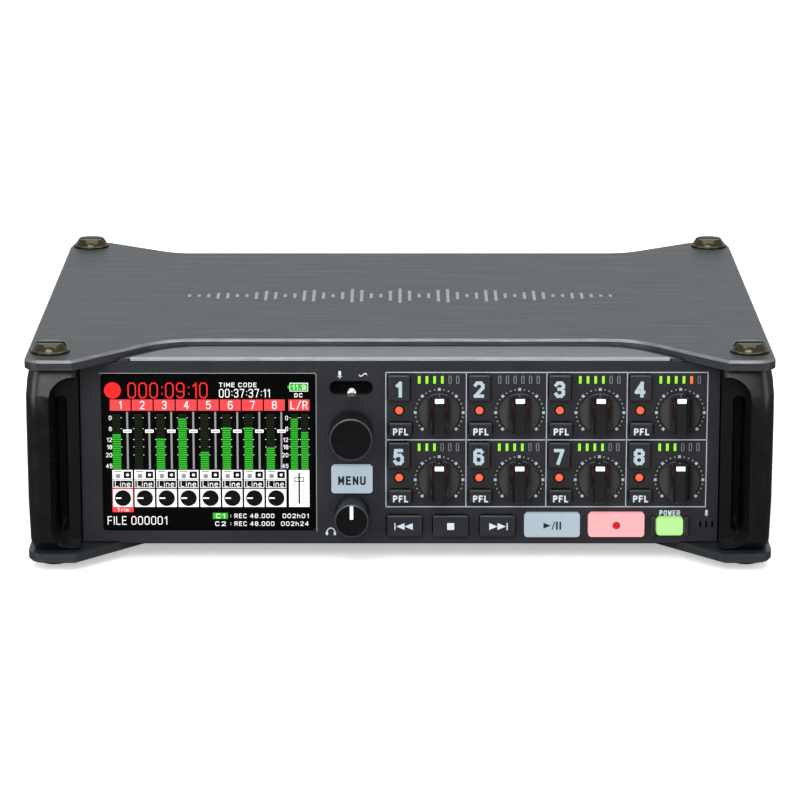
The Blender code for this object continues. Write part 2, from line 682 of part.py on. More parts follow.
def main():
    clear_scene()
    brushed = material("brushed_grey_metal", (0.105, 0.115, 0.12), 0.42, 0.9)
    moulded = material("dark_moulding", (0.028, 0.03, 0.034), 0.5)
    guard = material("guard_moulding", (0.012, 0.012, 0.013), 0.42)
    sheet = material("painted_sheet", (0.06, 0.066, 0.08), 0.45, 0.3)
    steel = material("bright_steel", (0.6, 0.6, 0.6), 0.2, 1.0)
    bolt = material("dark_nickel", (0.16, 0.145, 0.11), 0.28, 1.0)
    gloss = material("gloss_black", (0.006, 0.006, 0.007), 0.15)
    glass = material("display_glass", (0.004, 0.004, 0.005), 0.05)
    dark_key = material("dark_key", (0.02, 0.02, 0.023), 0.4)
    grey_key = material("light_grey_key", (0.42, 0.52, 0.6), 0.4)
    pink_key = material("pink_key", (0.95, 0.42, 0.43), 0.4)
    green_key = material("green_key", (0.36, 0.85, 0.22), 0.4)
    board = material("circuit_board", (0.01, 0.09, 0.04), 0.5)
    jack = material("jack_moulding", (0.015, 0.015, 0.016), 0.35)
    rubber = material("cap_rubber", (0.012, 0.012, 0.012), 0.75)
    cells = material("cell_wrap", (0.03, 0.03, 0.035), 0.35, 0.2)

    build_plates(brushed)
    build_bolts(bolt)
    build_guards(guard)
    build_front_panel(moulded)
    build_display(glass, steel)
    build_keys(
        {
            "dark": dark_key,
            "menu_key": grey_key,
            "play_key": grey_key,
            "record_key": pink_key,
            "power_key": green_key,
        }
    )
    build_gain_knobs(gloss)
    build_round_knobs(gloss, steel, moulded)
    build_toggle(steel)
    build_chassis(sheet)
    build_jack_banks(jack)
    build_back_connectors(jack)
    build_back_covers(guard, guard, rubber, cells)
    build_boards(board)


main()
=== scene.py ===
"""The looks of the portable field recorder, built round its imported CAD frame.

Shapes are lists of points in millimetres, in the CAD's frame: X right, Y to the back, Z up. The front
panel's face is the plane y = FACE. Every piece rides on one CAD body.
"""

import math

import bmesh
import bpy
import mathutils
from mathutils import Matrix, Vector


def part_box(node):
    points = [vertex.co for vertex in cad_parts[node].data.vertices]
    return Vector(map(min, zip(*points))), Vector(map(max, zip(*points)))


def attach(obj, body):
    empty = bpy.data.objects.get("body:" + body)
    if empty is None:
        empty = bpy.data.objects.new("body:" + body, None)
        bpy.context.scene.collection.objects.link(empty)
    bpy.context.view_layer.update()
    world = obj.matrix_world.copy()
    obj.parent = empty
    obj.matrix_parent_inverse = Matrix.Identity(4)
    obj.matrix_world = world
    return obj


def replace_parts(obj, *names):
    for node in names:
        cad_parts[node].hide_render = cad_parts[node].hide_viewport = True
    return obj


MM = 0.001
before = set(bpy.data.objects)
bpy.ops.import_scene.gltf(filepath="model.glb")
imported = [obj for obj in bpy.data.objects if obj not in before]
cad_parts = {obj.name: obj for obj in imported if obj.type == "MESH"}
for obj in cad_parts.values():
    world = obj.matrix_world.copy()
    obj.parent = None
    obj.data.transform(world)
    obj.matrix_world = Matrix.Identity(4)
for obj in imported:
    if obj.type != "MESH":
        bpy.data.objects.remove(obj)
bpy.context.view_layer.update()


def cad(node):
    """(lowest corner, highest corner) of a CAD node, in millimetres."""
    low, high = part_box(node)
    return [c / MM for c in low], [c / MM for c in high]


def centre(node):
    low, high = cad(node)
    return [(a + b) / 2 for a, b in zip(low, high)]


def show(thing):
    """Puts an object in the scene."""
    bpy.context.scene.collection.objects.link(thing)


# ---- sizes, in millimetres
PLATE_TOP = cad("top_plate")[1][2]
PLATE_FLOOR = cad("bottom_plate")[0][2]
HEIGHT = cad("tie_bolt_front_left")[1][2]
FACE = -60.0
PROUD = 0.04  # how far print stands off its surface
INK = 0.25  # width of a printed line
KEY_PROUD = 1.2
PEN_REACH = 0.8  # how far a stroke runs past its ends, over half its width
WORD_SPACE = 3.0  # in grid units of a letter
CHANNELS = 8
COLUMNS = 4
CELL_WIDTH = centre("gain_knob_2")[0] - centre("gain_knob_1")[0]
CELL_HEIGHT = centre("gain_knob_1")[2] - centre("gain_knob_5")[2]
CELL_LEFT = centre("gain_knob_1")[0] - 12.78
CELL_TOP = centre("gain_knob_1")[2] + 9.9
LIT = (4, 0, 4, 4, 3, 4, 4, 3)  # lit level lamps in each channel cell
LAMPS = 6
OVER_CHANNEL = 3  # this channel, counted from 0, also shows an orange lamp
KNOB_RADIUS = 4.75
KNOB_HEIGHT = 5.0
JACK_PLACES = [-26.0 + 23.8 * i for i in range(4)]
JACK_Z = 27.15
JACK_FRONT = 79.6


# ---- outlines, as lists of 2-D points
def circle(radius, steps=48, x=0.0, y=0.0):
    turns = (2 * math.pi * i / steps for i in range(steps))
    return [(x + radius * math.cos(t), y + radius * math.sin(t)) for t in turns]


def rounded(width, height, radius, steps=6, x=0.0, y=0.0):
    """A rectangle with round corners, centred on x, y."""
    points = []
    for quarter, (sx, sy) in enumerate(((1, 1), (-1, 1), (-1, -1), (1, -1))):
        cx = x + sx * (width / 2 - radius)
        cy = y + sy * (height / 2 - radius)
        for i in range(steps + 1):
            turn = math.pi / 2 * (quarter + i / steps)
            points.append((cx + radius * math.cos(turn), cy + radius * math.sin(turn)))
    return points


def toothed(radius, teeth, depth):
    """A circle with a fine round knurl."""
    points = []
    for i in range(teeth * 4):
        turn = 2 * math.pi * i / (teeth * 4)
        r = radius - depth * (0.5 - 0.5 * math.cos(teeth * turn))
        points.append((r * math.cos(turn), r * math.sin(turn)))
    return points


# ---- shapes, as (points, faces)
def level(outline, z):
    return [(x, y, z) for x, y in outline]


def facing_front(outline, y):
    return [(x, y, z) for x, z in outline]


def facing_side(outline, x):
    return [(x, y, z) for y, z in outline]


def loft(rings, closed=False):
    """A shape through rings of equally many points: closed on itself like a tyre, or with filled ends."""
    count = len(rings[0])
    total = count * len(rings)
    points = [p for ring in rings for p in ring]
    faces = [] if closed else [tuple(range(count)), tuple(range(total - count, total))]
    spans = len(rings) if closed else len(rings) - 1
    for k in range(spans):
        first, second = k * count, (k + 1) * count % total
        for i in range(count):
            j = (i + 1) % count
            faces.append((first + i, first + j, second + j, second + i))
    return points, faces


def block(x0, x1, y0, y1, z0, z1):
    outline = [(x0, y0), (x1, y0), (x1, y1), (x0, y1)]
    return loft([level(outline, z0), level(outline, z1)])


def turned(profile, place, steps=48, x=0.0, y=0.0, closed=False):
    """A round shape through (radius, height) pairs."""
    return loft([place(circle(radius, steps, x, y), height) for radius, height in profile], closed)


def prism(outline, near, far):
    """A straight solid between two planes that face the front."""
    return loft([facing_front(outline, near), facing_front(outline, far)])


def hoop(rings):
    """A frame through (outline, y) pairs that close on themselves."""
    return loft([facing_front(outline, y) for outline, y in rings], closed=True)


def around(radius, *angles):
    """Offsets from a centre, at angles in degrees."""
    turns = (math.radians(angle) for angle in angles)
    return [(radius * math.cos(turn), radius * math.sin(turn)) for turn in turns]


def moved(shape, dx=0.0, dy=0.0, dz=0.0):
    points, faces = shape
    return [(x + dx, y + dy, z + dz) for x, y, z in points], faces


def together(shapes):
    points, faces = [], []
    for more_points, more_faces in shapes:
        faces += [tuple(i + len(points) for i in face) for face in more_faces]
        points += more_points
    return points, faces


def printed(x0, x1, z0, z1, y=FACE):
    """A thin printed rectangle on a plane that faces the front."""
    return block(x0, x1, y - PROUD, y + PROUD, z0, z1)


def outlined(x0, x1, z0, z1, line, y=FACE):
    """A printed rectangle's outline."""
    return together(
        [
            printed(x0, x1, z1 - line, z1, y),
            printed(x0, x1, z0, z0 + line, y),
            printed(x0, x0 + line, z0, z1, y),
            printed(x1 - line, x1, z0, z1, y),
        ]
    )


# Letters as pen strokes on a grid 4 units wide and 6 high.
ROUND = [(1, 0), (3, 0), (4, 1), (4, 5), (3, 6), (1, 6), (0, 5), (0, 1), (1, 0)]
STEM = [(0, 0), (0, 6)]
SHORT_STEM = [(0, 0), (0, 3.9)]
CAP = [(0, 5), (1, 6), (3, 6), (4, 5)]
CUP = [(0, 1), (1, 0), (3, 0), (4, 1)]
BOWL = [(0, 0), (0, 6), (3, 6), (4, 5), (4, 3.8), (3, 2.8), (0, 2.8)]
GLYPHS = {
    "0": [ROUND],
    "1": [[(0.4, 4.7), (2.0, 6), (2.0, 0)]],
    "2": [CAP + [(4, 3.8), (0, 0), (4, 0)]],
    "3": [CAP + [(4, 4.1), (3, 3.2), (1.5, 3.2)], [(3, 3.2), (4, 2.2)] + CUP[::-1]],
    "4": [[(3.1, 0), (3.1, 6), (0, 1.8), (4.2, 1.8)]],
    "5": [[(3.8, 6), (0.5, 6), (0.2, 3.2), (1.2, 3.8), (3, 3.8), (4, 2.8)] + CUP[::-1]],
    "6": [[(3.8, 5.2), (3, 6), (1, 6), (0, 5)] + CUP + [(4, 2.6), (3, 3.5), (0.8, 3.5)]],
    "7": [[(0, 6), (4, 6), (1.6, 0)]],
    "8": [
        [(1, 3.2), (0, 4.1)] + CAP + [(4, 4.1), (3, 3.2), (1, 3.2)],
        [(1, 3.2), (0, 2.2)] + CUP + [(4, 2.2), (3, 3.2)],
    ],
    "9": [[(0.2, 0.8), (1, 0), (3, 0), (4, 1)] + CAP[::-1] + [(0, 3.4), (1, 2.5), (3.2, 2.5)]],
    ":": [[(0.6, 1.5), (0.6, 1.7)], [(0.6, 4.2), (0.6, 4.4)]],
    ".": [[(0.5, 0), (0.5, 0.2)]],
    "-": [[(0.3, 3), (3.3, 3)]],
    "/": [[(0.2, -0.4), (3.8, 6.4)]],
    "A": [[(0, 0), (0, 4.6), (1.4, 6), (2.6, 6), (4, 4.6), (4, 0)], [(0, 2.4), (4, 2.4)]],
    "C": [CUP[::-1] + CAP],
    "D": [[(0, 0), (0, 6), (2.8, 6), (4, 4.8), (4, 1.2), (2.8, 0), (0, 0)]],
    "E": [[(3.6, 6), (0, 6), (0, 0), (3.6, 0)], [(0, 3.1), (3.1, 3.1)]],
    "F": [[(3.6, 6), (0, 6), (0, 0)], [(0, 3.0), (3.1, 3.0)]],
    "I": [STEM],
    "L": [[(0, 6), (0, 0), (3.4, 0)]],
    "M": [[(0, 0), (0, 6), (2.2, 1.8), (4.4, 6), (4.4, 0)]],
    "N": [[(0, 0), (0, 6), (4, 0), (4, 6)]],
    "O": [ROUND],
    "P": [BOWL],
    "R": [BOWL, [(2.2, 2.8), (4, 0)]],
    "S": [CUP + [(4, 2.2), (3, 3.1), (1, 3.1), (0, 4)] + CAP],
    "T": [[(0, 6), (4, 6)], [(2, 6), (2, 0)]],
    "U": [[(0, 6)] + CUP + [(4, 6)]],
    "V": [[(0, 6), (2, 0), (4, 6)]],
    "W": [[(0, 6), (1.1, 0), (2.4, 4.6), (3.7, 0), (4.8, 6)]],
    "e": [[(0.2, 2), (3.4, 2), (3.4, 2.9), (2.6, 3.9), (1, 3.9), (0, 2.9), (0, 1), (1, 0), (3.2, 0)]],
    "h": [STEM, [(0, 2.9), (1, 3.9), (2.6, 3.9), (3.4, 3), (3.4, 0)]],
    "i": [[(0.4, 0), (0.4, 3.9)], [(0.4, 5.4), (0.4, 5.6)]],
    "m": [
        [(0, 0), (0, 3.9), (1.3, 3.9), (2, 3.2), (2, 0)],
        [(2, 3.2), (2.7, 3.9), (3.3, 3.9), (4, 3.2), (4, 0)],
    ],
    "n": [SHORT_STEM, [(0, 2.9), (1, 3.9), (2.4, 3.9), (3.2, 3), (3.2, 0)]],
    "r": [SHORT_STEM, [(0, 2.7), (1.2, 3.9), (2.4, 3.9)]],
}


def stroke(start, end, pen, front):
    """One straight pen stroke as a flat solid in u, v, w. Strokes that cross have different fronts."""
    (u0, v0), (u1, v1) = start, end
    length = math.hypot(u1 - u0, v1 - v0)
    du, dv = (u1 - u0) / length * pen, (v1 - v0) / length * pen
    au, av = du * PEN_REACH, dv * PEN_REACH
    corners = [(u0 - au - dv, v0 - av + du), (u0 - au + dv, v0 - av - du)]
    corners += [(u1 + au + dv, v1 + av - du), (u1 + au - dv, v1 + av + du)]
    return loft([[(u, v, w) for u, v in corners] for w in (-PROUD, front)])


def words(text, height, squeeze=0.8, weight=0.13, align="CENTER"):
    """Lettering as a flat solid: u to the right, v up from the middle, w out.

    weight is the pen's width over the height.
    """
    pen = weight * height / 2
    gap = 1.2 + 12 * weight
    tall = (height - 2 * pen) / 6
    wide = height / 6 * squeeze
    spaced, cursor = [], 0.0
    for letter in text:
        if letter == " ":
            cursor += WORD_SPACE
            continue
        lines = GLYPHS[letter]
        for line in lines:
            spaced.append([((cursor + u) * wide, (v - 3) * tall) for u, v in line])
        cursor += max(u for line in lines for u, _ in line) + gap
    width = (cursor - gap) * wide
    shift = {"LEFT": 0.0, "CENTER": -width / 2, "RIGHT": -width}[align]
    shapes = []
    for line in spaced:
        placed = [(u + shift, v) for u, v in line]
        for start, end in zip(placed, placed[1:]):
            shapes.append(stroke(start, end, pen, PROUD - 0.0015 * (len(shapes) % 12)))
    return together(shapes)


def on_front(shape, x, z, y=FACE):
    points, faces = shape
    return [(x + u, y - w, z + v) for u, v, w in points], faces


def on_back(shape, x, z, y):
    points, faces = shape
    return [(x - u, y + w, z + v) for u, v, w in points], faces


def on_side(shape, side, y, z, x):
    """side is 1 on the right and -1 on the left."""
    points, faces = shape
    return [(side * (x + w), y + side * u, z + v) for u, v, w in points], faces


# ---- materials
class Finish:
    """A material that is built up node by node round one Principled shader."""

    def __init__(self, name, colour, roughness, metallic=0.0, specular=0.5):
        self.material = bpy.data.materials.new(name)
        self.material.use_nodes = True
        self.nodes = self.material.node_tree.nodes
        self.links = self.material.node_tree.links
        self.shader = self.nodes["Principled BSDF"]
        self.colour = colour
        self.roughness = roughness
        self.shader.inputs["Base Color"].default_value = (*colour, 1.0)
        self.shader.inputs["Roughness"].default_value = roughness
        self.shader.inputs["Metallic"].default_value = metallic
        self.shader.inputs["Specular IOR Level"].default_value = specular
        self.place = self.nodes.new("ShaderNodeTexCoord").outputs["Object"]

    def noise(self, size, stretch=(1, 1, 1), detail=3.0):
        """Noise whose features are size millimetres wide, drawn out along each axis by stretch."""
        mapping = self.nodes.new("ShaderNodeMapping")
        mapping.inputs["Scale"].default_value = [1 / (size * MM * s) for s in stretch]
        self.links.new(self.place, mapping.inputs["Vector"])
        noise = self.nodes.new("ShaderNodeTexNoise")
        noise.inputs["Scale"].default_value = 1.0
        noise.inputs["Detail"].default_value = detail
        self.links.new(mapping.outputs["Vector"], noise.inputs["Vector"])
        return noise.outputs["Fac"]

    def spread(self, source, low, high):
        """Turns noise into a number between low and high."""
        span = self.nodes.new("ShaderNodeMapRange")
        span.inputs["From Min"].default_value = 0.3
        span.inputs["From Max"].default_value = 0.7
        span.inputs["To Min"].default_value = low
        span.inputs["To Max"].default_value = high
        self.links.new(source, span.inputs["Value"])
        return span.outputs["Result"]

    def vary_colour(self, source, amount):
        ramp = self.nodes.new("ShaderNodeValToRGB")
        ramp.color_ramp.elements[0].position = 0.3
        ramp.color_ramp.elements[1].position = 0.7
        ramp.color_ramp.elements[0].color = (*[c * (1 - amount) for c in self.colour], 1)
        ramp.color_ramp.elements[1].color = (*[min(1, c * (1 + amount)) for c in self.colour], 1)
        self.links.new(source, ramp.inputs["Fac"])
        self.links.new(ramp.outputs["Color"], self.shader.inputs["Base Color"])
        return self

    def vary_roughness(self, source, amount):
        span = self.spread(source, max(0.02, self.roughness - amount), self.roughness + amount)
        self.links.new(span, self.shader.inputs["Roughness"])
        return self

    def bump(self, source, depth):
        """depth is in millimetres."""
        bump = self.nodes.new("ShaderNodeBump")
        bump.inputs["Distance"].default_value = depth * MM
        self.links.new(source, bump.inputs["Height"])
        self.links.new(bump.outputs["Normal"], self.shader.inputs["Normal"])
        return self

    def glow(self, colour, strength):
        self.shader.inputs["Emission Color"].default_value = (*colour, 1.0)
        self.shader.inputs["Emission Strength"].default_value = strength
        return self


def brushed(name, colour, roughness, stretch, metallic=0.9):
    """Brushed metal: long fine lines, and slow clouds in its gloss."""
    finish = Finish(name, colour, roughness, metallic)
    lines = finish.noise(0.16, stretch, 4.0)
    finish.vary_colour(lines, 0.28)
    finish.vary_roughness(finish.noise(0.3, stretch), 0.1)
    return finish.bump(lines, 0.012).material


def moulded(name, colour, roughness, grain=0.35, depth=0.02, specular=0.25):
    """Moulded plastic or powder paint with a fine spark-eroded texture."""
    finish = Finish(name, colour, roughness, specular=specular)
    finish.vary_colour(finish.noise(9.0), 0.12)
    finish.vary_roughness(finish.noise(4.0), 0.06)
    return finish.bump(finish.noise(grain, detail=2.0), depth).material


def polished(name, colour, roughness, metallic, specular=0.5):
    """A smooth gloss or plated surface with faint smears."""
    finish = Finish(name, colour, roughness, metallic, specular)
    finish.vary_colour(finish.noise(6.0), 0.06)
    finish.vary_roughness(finish.noise(2.0, (4, 1, 1)), 0.05)
    return finish.bump(finish.noise(1.5), 0.003).material


def ink(name, colour):
    """Silk-screened print."""
    finish = Finish(name, colour, 0.5, specular=0.2)
    finish.vary_colour(finish.noise(0.6), 0.06)
    return finish.vary_roughness(finish.noise(0.4), 0.08).material


def scooped(name, colour, polished_roughness, satin_roughness):
    """Moulded gloss: polished on the knob's ridge, satin where its hollows run out to the rim."""
    finish = Finish(name, colour, satin_roughness, 0.0, 0.9)
    place = finish.nodes.new("ShaderNodeTexCoord")
    axes = finish.nodes.new("ShaderNodeSeparateXYZ")
    finish.links.new(place.outputs["Generated"], axes.inputs[0])
    across = finish.nodes.new("ShaderNodeMath")
    across.operation = "SUBTRACT"
    across.inputs[1].default_value = 0.5
    finish.links.new(axes.outputs["X"], across.inputs[0])
    away = finish.nodes.new("ShaderNodeMath")
    away.operation = "ABSOLUTE"
    finish.links.new(across.outputs[0], away.inputs[0])
    blend = finish.nodes.new("ShaderNodeMapRange")
    blend.inputs["From Min"].default_value = 0.14
    blend.inputs["From Max"].default_value = 0.4
    blend.inputs["To Min"].default_value = polished_roughness
    blend.inputs["To Max"].default_value = satin_roughness
    finish.links.new(away.outputs[0], blend.inputs["Value"])
    finish.links.new(blend.outputs["Result"], finish.shader.inputs["Roughness"])
    finish.vary_colour(finish.noise(2.0), 0.06)
    return finish.bump(finish.noise(1.5), 0.002).material


def glowing(name, colour, strength, roughness=0.4):
    """A lit light pipe, key or display pixel."""
    finish = Finish(name, [c * 0.3 for c in colour], roughness, specular=0.2)
    finish.vary_roughness(finish.noise(0.8), 0.08)
    finish.vary_colour(finish.noise(1.5), 0.08)
    return finish.glow(colour, strength).material


PLATE = brushed("brushed_plate", (0.086, 0.097, 0.106), 0.4, (60, 1, 1))
# Painted highlight: a lighter copy of the brushed plate, put on the plates' chamfers.
CHAMFER_HIGHLIGHT = brushed("bright_plate_edge", (0.2, 0.206, 0.213), 0.42, (30, 30, 1))
# The lip's band: its own metal tone, made lighter as painted light where the plate above shades it.
BAND_TONE_AND_PAINTED_LIGHT = brushed("panel_top_band", (0.14, 0.158, 0.18), 0.5, (40, 1, 1), 0.35)
# Painted highlight along the lip's front edge: a lighter copy of the band.
BAND_EDGE_HIGHLIGHT = brushed("panel_top_edge_paint", (0.3, 0.315, 0.34), 0.5, (40, 1, 1), 0.3)
RIM = polished("knob_rim", (0.09, 0.09, 0.095), 0.3, 0.8)
BOLT = polished("black_nickel", (0.075, 0.069, 0.046), 0.16, 1.0)
STEEL = polished("chrome", (0.75, 0.76, 0.78), 0.08, 1.0)
SATIN = brushed("satin_nickel", (0.5, 0.5, 0.48), 0.32, (1, 1, 1), 1.0)
GOLD = polished("gold_contact", (0.75, 0.5, 0.2), 0.25, 1.0)
GUARD = moulded("guard_plastic", (0.003, 0.0032, 0.0042), 0.3, 0.3, 0.006, 0.33)
PANEL = moulded("panel_plastic", (0.0165, 0.017, 0.0205), 0.62, 0.25, 0.02, 0.2)
SHEET = moulded("powder_paint", (0.02, 0.021, 0.024), 0.55, 0.2, 0.03, 0.3)
KEY = moulded("key_rubber", (0.0125, 0.013, 0.0155), 0.38, 0.2, 0.006, 0.6)
KNOB = scooped("knob_gloss_black", (0.007, 0.007, 0.007), 0.12, 0.6)
KNOB_FACE = polished("knob_face_black", (0.0025, 0.0026, 0.0035), 0.3, 0.0, 0.25)
KNOB_SIDE = moulded("knob_side_black", (0.006, 0.006, 0.0065), 0.4, 0.25, 0.01, 0.3)
JACK = moulded("jack_plastic", (0.008, 0.008, 0.009), 0.38, 0.3, 0.01, 0.35)
RUBBER = moulded("black_rubber", (0.009, 0.009, 0.009), 0.8, 0.5, 0.03, 0.2)
BOARD = moulded("solder_mask", (0.01, 0.07, 0.03), 0.4, 0.5, 0.01, 0.4)
WRAP = polished("cell_wrap", (0.02, 0.02, 0.025), 0.3, 0.3)
# Near-black for holes, wells and the toggle slot: painted shade standing for the dark inside hollows.
HOLLOW_SHADE_BLACK = moulded("hollow_black", (0.0015, 0.0015, 0.0015), 0.8, 0.5, 0.01, 0.1)
WINDOW = polished("display_glass", (0.0012, 0.0012, 0.0014), 0.06, 0.0, 0.12)
LEGEND = ink("legend_ink", (0.5, 0.56, 0.62))
# Grey ink: printed rims of the unlit level lamps, and the painted highlight on the display rim's top and
# right edges.
LAMP_RIM_AND_RIM_HIGHLIGHT = ink("lamp_rim_ink", (0.2, 0.205, 0.21))
SCALE = ink("scale_ink", (0.34, 0.38, 0.42))
GRID = ink("grid_ink", (0.32, 0.36, 0.41))
MARK = ink("white_mark", (0.85, 0.86, 0.86))
SOFT_MARK = ink("plate_mark", (0.24, 0.255, 0.265))
DARK_INK = ink("dark_ink", (0.012, 0.014, 0.018))
NUMBER = glowing("lit_number", (0.4, 0.5, 0.56), 0.85)
PALE_KEY = glowing("lit_pale_key", (0.36, 0.44, 0.5), 0.85)
PINK_KEY = glowing("lit_pink_key", (0.95, 0.38, 0.39), 0.9)
GREEN_KEY = glowing("lit_green_key", (0.38, 0.7, 0.24), 0.95)
RED_DOT = ink("record_red", (0.42, 0.004, 0.018))
GREEN_LAMP = glowing("green_lamp", (0.28, 0.75, 0.035), 0.95)
ORANGE_LAMP = glowing("orange_lamp", (1.0, 0.16, 0.02), 1.1)
STATUS_LAMP = glowing("status_lamp", (0.95, 0.11, 0.04), 1.1)
SCREEN_RED = glowing("screen_red", (1.0, 0.012, 0.014), 1.0)
SCREEN_HEAD = glowing("screen_head", (0.8, 0.05, 0.055), 1.0)
SCREEN_GREEN = glowing("screen_green", (0.022, 0.4, 0.016), 1.0)
SCREEN_DIM = glowing("screen_dim_green", (0.006, 0.011, 0.003), 1.0)
SCREEN_WHITE = glowing("screen_white", (0.9, 0.9, 0.9), 1.0)
SCREEN_GREY = glowing("screen_grey", (0.24, 0.24, 0.24), 1.0)
SCREEN_BLACK = ink("screen_black", (0.001, 0.001, 0.001))


# ---- pieces
def piece(name, shape, finish, body="body", bevel=0.0, segments=2, angle=35.0):
    """An object that shows a shape and rides on a CAD body."""
    points, faces = shape
    mesh = bpy.data.meshes.new(name)
    mesh.from_pydata([[c * MM for c in p] for p in points], [], faces)
    work = bmesh.new()
    work.from_mesh(mesh)
    bmesh.ops.recalc_face_normals(work, faces=work.faces)
    work.to_mesh(mesh)
    work.free()
    made = bpy.data.objects.new(name, mesh)
    show(made)
    mesh.materials.append(finish)
    mesh.shade_smooth()
    mesh.set_sharp_from_angle(angle=math.radians(angle))
    if bevel:
        soften(made, bevel, segments)
    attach(made, body)
    return made


def soften(made, width, segments=2, angle=30.0):
    """Rounds an object's sharp edges."""
    step = made.modifiers.new("Soft edges", "BEVEL")
    step.width = width * MM
    step.segments = segments
    step.limit_method = "ANGLE"
    step.angle_limit = math.radians(angle)
    step.harden_normals = True


def carve(made, *shapes):
    """Takes shapes away from a piece, and keeps the result as its mesh."""
    helpers = []
    for shape in shapes:
        helper = piece("cutter", shape, HOLLOW_SHADE_BLACK)
        helpers.append(helper)
        step = made.modifiers.new("Carve", "BOOLEAN")
        step.operation = "DIFFERENCE"
        step.object = helper
    bpy.context.view_layer.update()
    graph = bpy.context.evaluated_depsgraph_get()
    mesh = bpy.data.meshes.new_from_object(made.evaluated_get(graph))
    made.modifiers.clear()
    made.data = mesh
    for helper in helpers:
        bpy.data.objects.remove(helper)
    work = bmesh.new()
    work.from_mesh(mesh)
    bmesh.ops.remove_doubles(work, verts=work.verts, dist=0.002 * MM)
    work.to_mesh(mesh)
    work.free()
    mesh.shade_smooth()
    mesh.set_sharp_from_angle(angle=math.radians(35))
    return made


def copy(original, name, offset, body):
    """Another piece with the same mesh and modifiers, moved by offset."""
    made = original.copy()
    made.name = name
    made.parent = None
    show(made)
    made.location = [c * MM for c in offset]
    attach(made, body)
    return made


def paint(finish, *nodes):
    """Gives CAD nodes a material."""
    for node in nodes:
        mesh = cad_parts[node].data
        mesh.materials.clear()
        mesh.materials.append(finish)


def cell(index, right, below):
    """The place right of and below a channel cell's top left corner."""
    column, row = index % COLUMNS, index // COLUMNS
    return CELL_LEFT + column * CELL_WIDTH + right, CELL_TOP - row * CELL_HEIGHT - below


# ---- case
def build_bolts():
    """Slotted flange heads over the top plate, and round feet under the bottom one."""
    x, y, _ = centre("tie_bolt_front_left")
    rim, waist, crown = 4.75, 4.3, 3.25
    seat = PLATE_TOP
    profile = [(0.3, seat + 0.02), (rim - 0.1, seat + 0.02), (rim, seat + 0.2), (rim, seat + 0.45)]
    profile += [(rim - 0.15, seat + 0.6), (waist, seat + 0.68), (waist - 0.1, seat + 0.9)]
    profile += [(crown + 0.2, HEIGHT - 0.22), (crown, HEIGHT - 0.04), (crown - 0.3, HEIGHT), (0.3, HEIGHT)]
    head = piece("bolt_head", turned(profile, level, 64, x, y), BOLT)
    slot = block(x - 6, x + 6, y - 0.75, y + 0.75, HEIGHT - 1.1, HEIGHT + 1)
    carve(head, slot)
    soften(head, 0.08)
    under = PLATE_FLOOR - 0.02
    profile = [(2.9, 0.0), (3.3, 0.1), (4.35, 1.3), (rim, 1.5), (rim, under), (0.5, under)]
    foot = piece("bolt_foot", turned(profile, level, 64, x, y), BOLT, bevel=0.12)
    for end in ("front", "rear"):
        for side in ("left", "right"):
            node = f"tie_bolt_{end}_{side}"
            there = centre(node)
            offset = (there[0] - x, there[1] - y, 0)
            if (end, side) == ("front", "left"):
                top, bottom = head, foot
                top.name, bottom.name = f"bolt_head_{end}_{side}", f"bolt_foot_{end}_{side}"
            else:
                top = copy(head, f"bolt_head_{end}_{side}", offset, "body")
                bottom = copy(foot, f"bolt_foot_{end}_{side}", offset, "body")
            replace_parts(top, node)


def guard_block(out, low, high, front, back):
    """A right-hand guard's block: round outer corner, and a front that leans back at top and bottom."""
    inner, outer, corner = 76.8, 89.0, 3.6
    crest = 0.12  # how far the front stands out between its two shoulders

    def outline(lean, tuck):
        face = front - out * lean
        side = outer - tuck
        points = [(inner, back), (inner, face - out * 0.8), (inner + 0.25, face - out * 0.25)]
        points += [(inner + 0.8, face), (80.0, face + out * crest), (83.0, face + out * crest)]
        for i in range(9):
            turn = math.pi / 2 * i / 8
            fall = corner * (1 - math.cos(turn))
            points.append((side - corner + corner * math.sin(turn), face - out * fall))
        return points + [(side, back)]

    steps = ((0.0, 2.0, 1.1), (0.9, 1.1, 0.7), (2.2, 0.1, 0.45), (12.0, 0.0, 0.1))
    rings = [level(outline(lean, tuck), low + rise) for rise, lean, tuck in steps]
    steps = ((12.0, 0.0, 0.0), (6.4, 0.0, 0.05), (5.8, 0.25, 0.1), (3.0, 1.2, 0.3), (0.0, 2.3, 0.8))
    rings += [level(outline(lean, tuck), high - drop) for drop, lean, tuck in steps]
    return loft(rings)


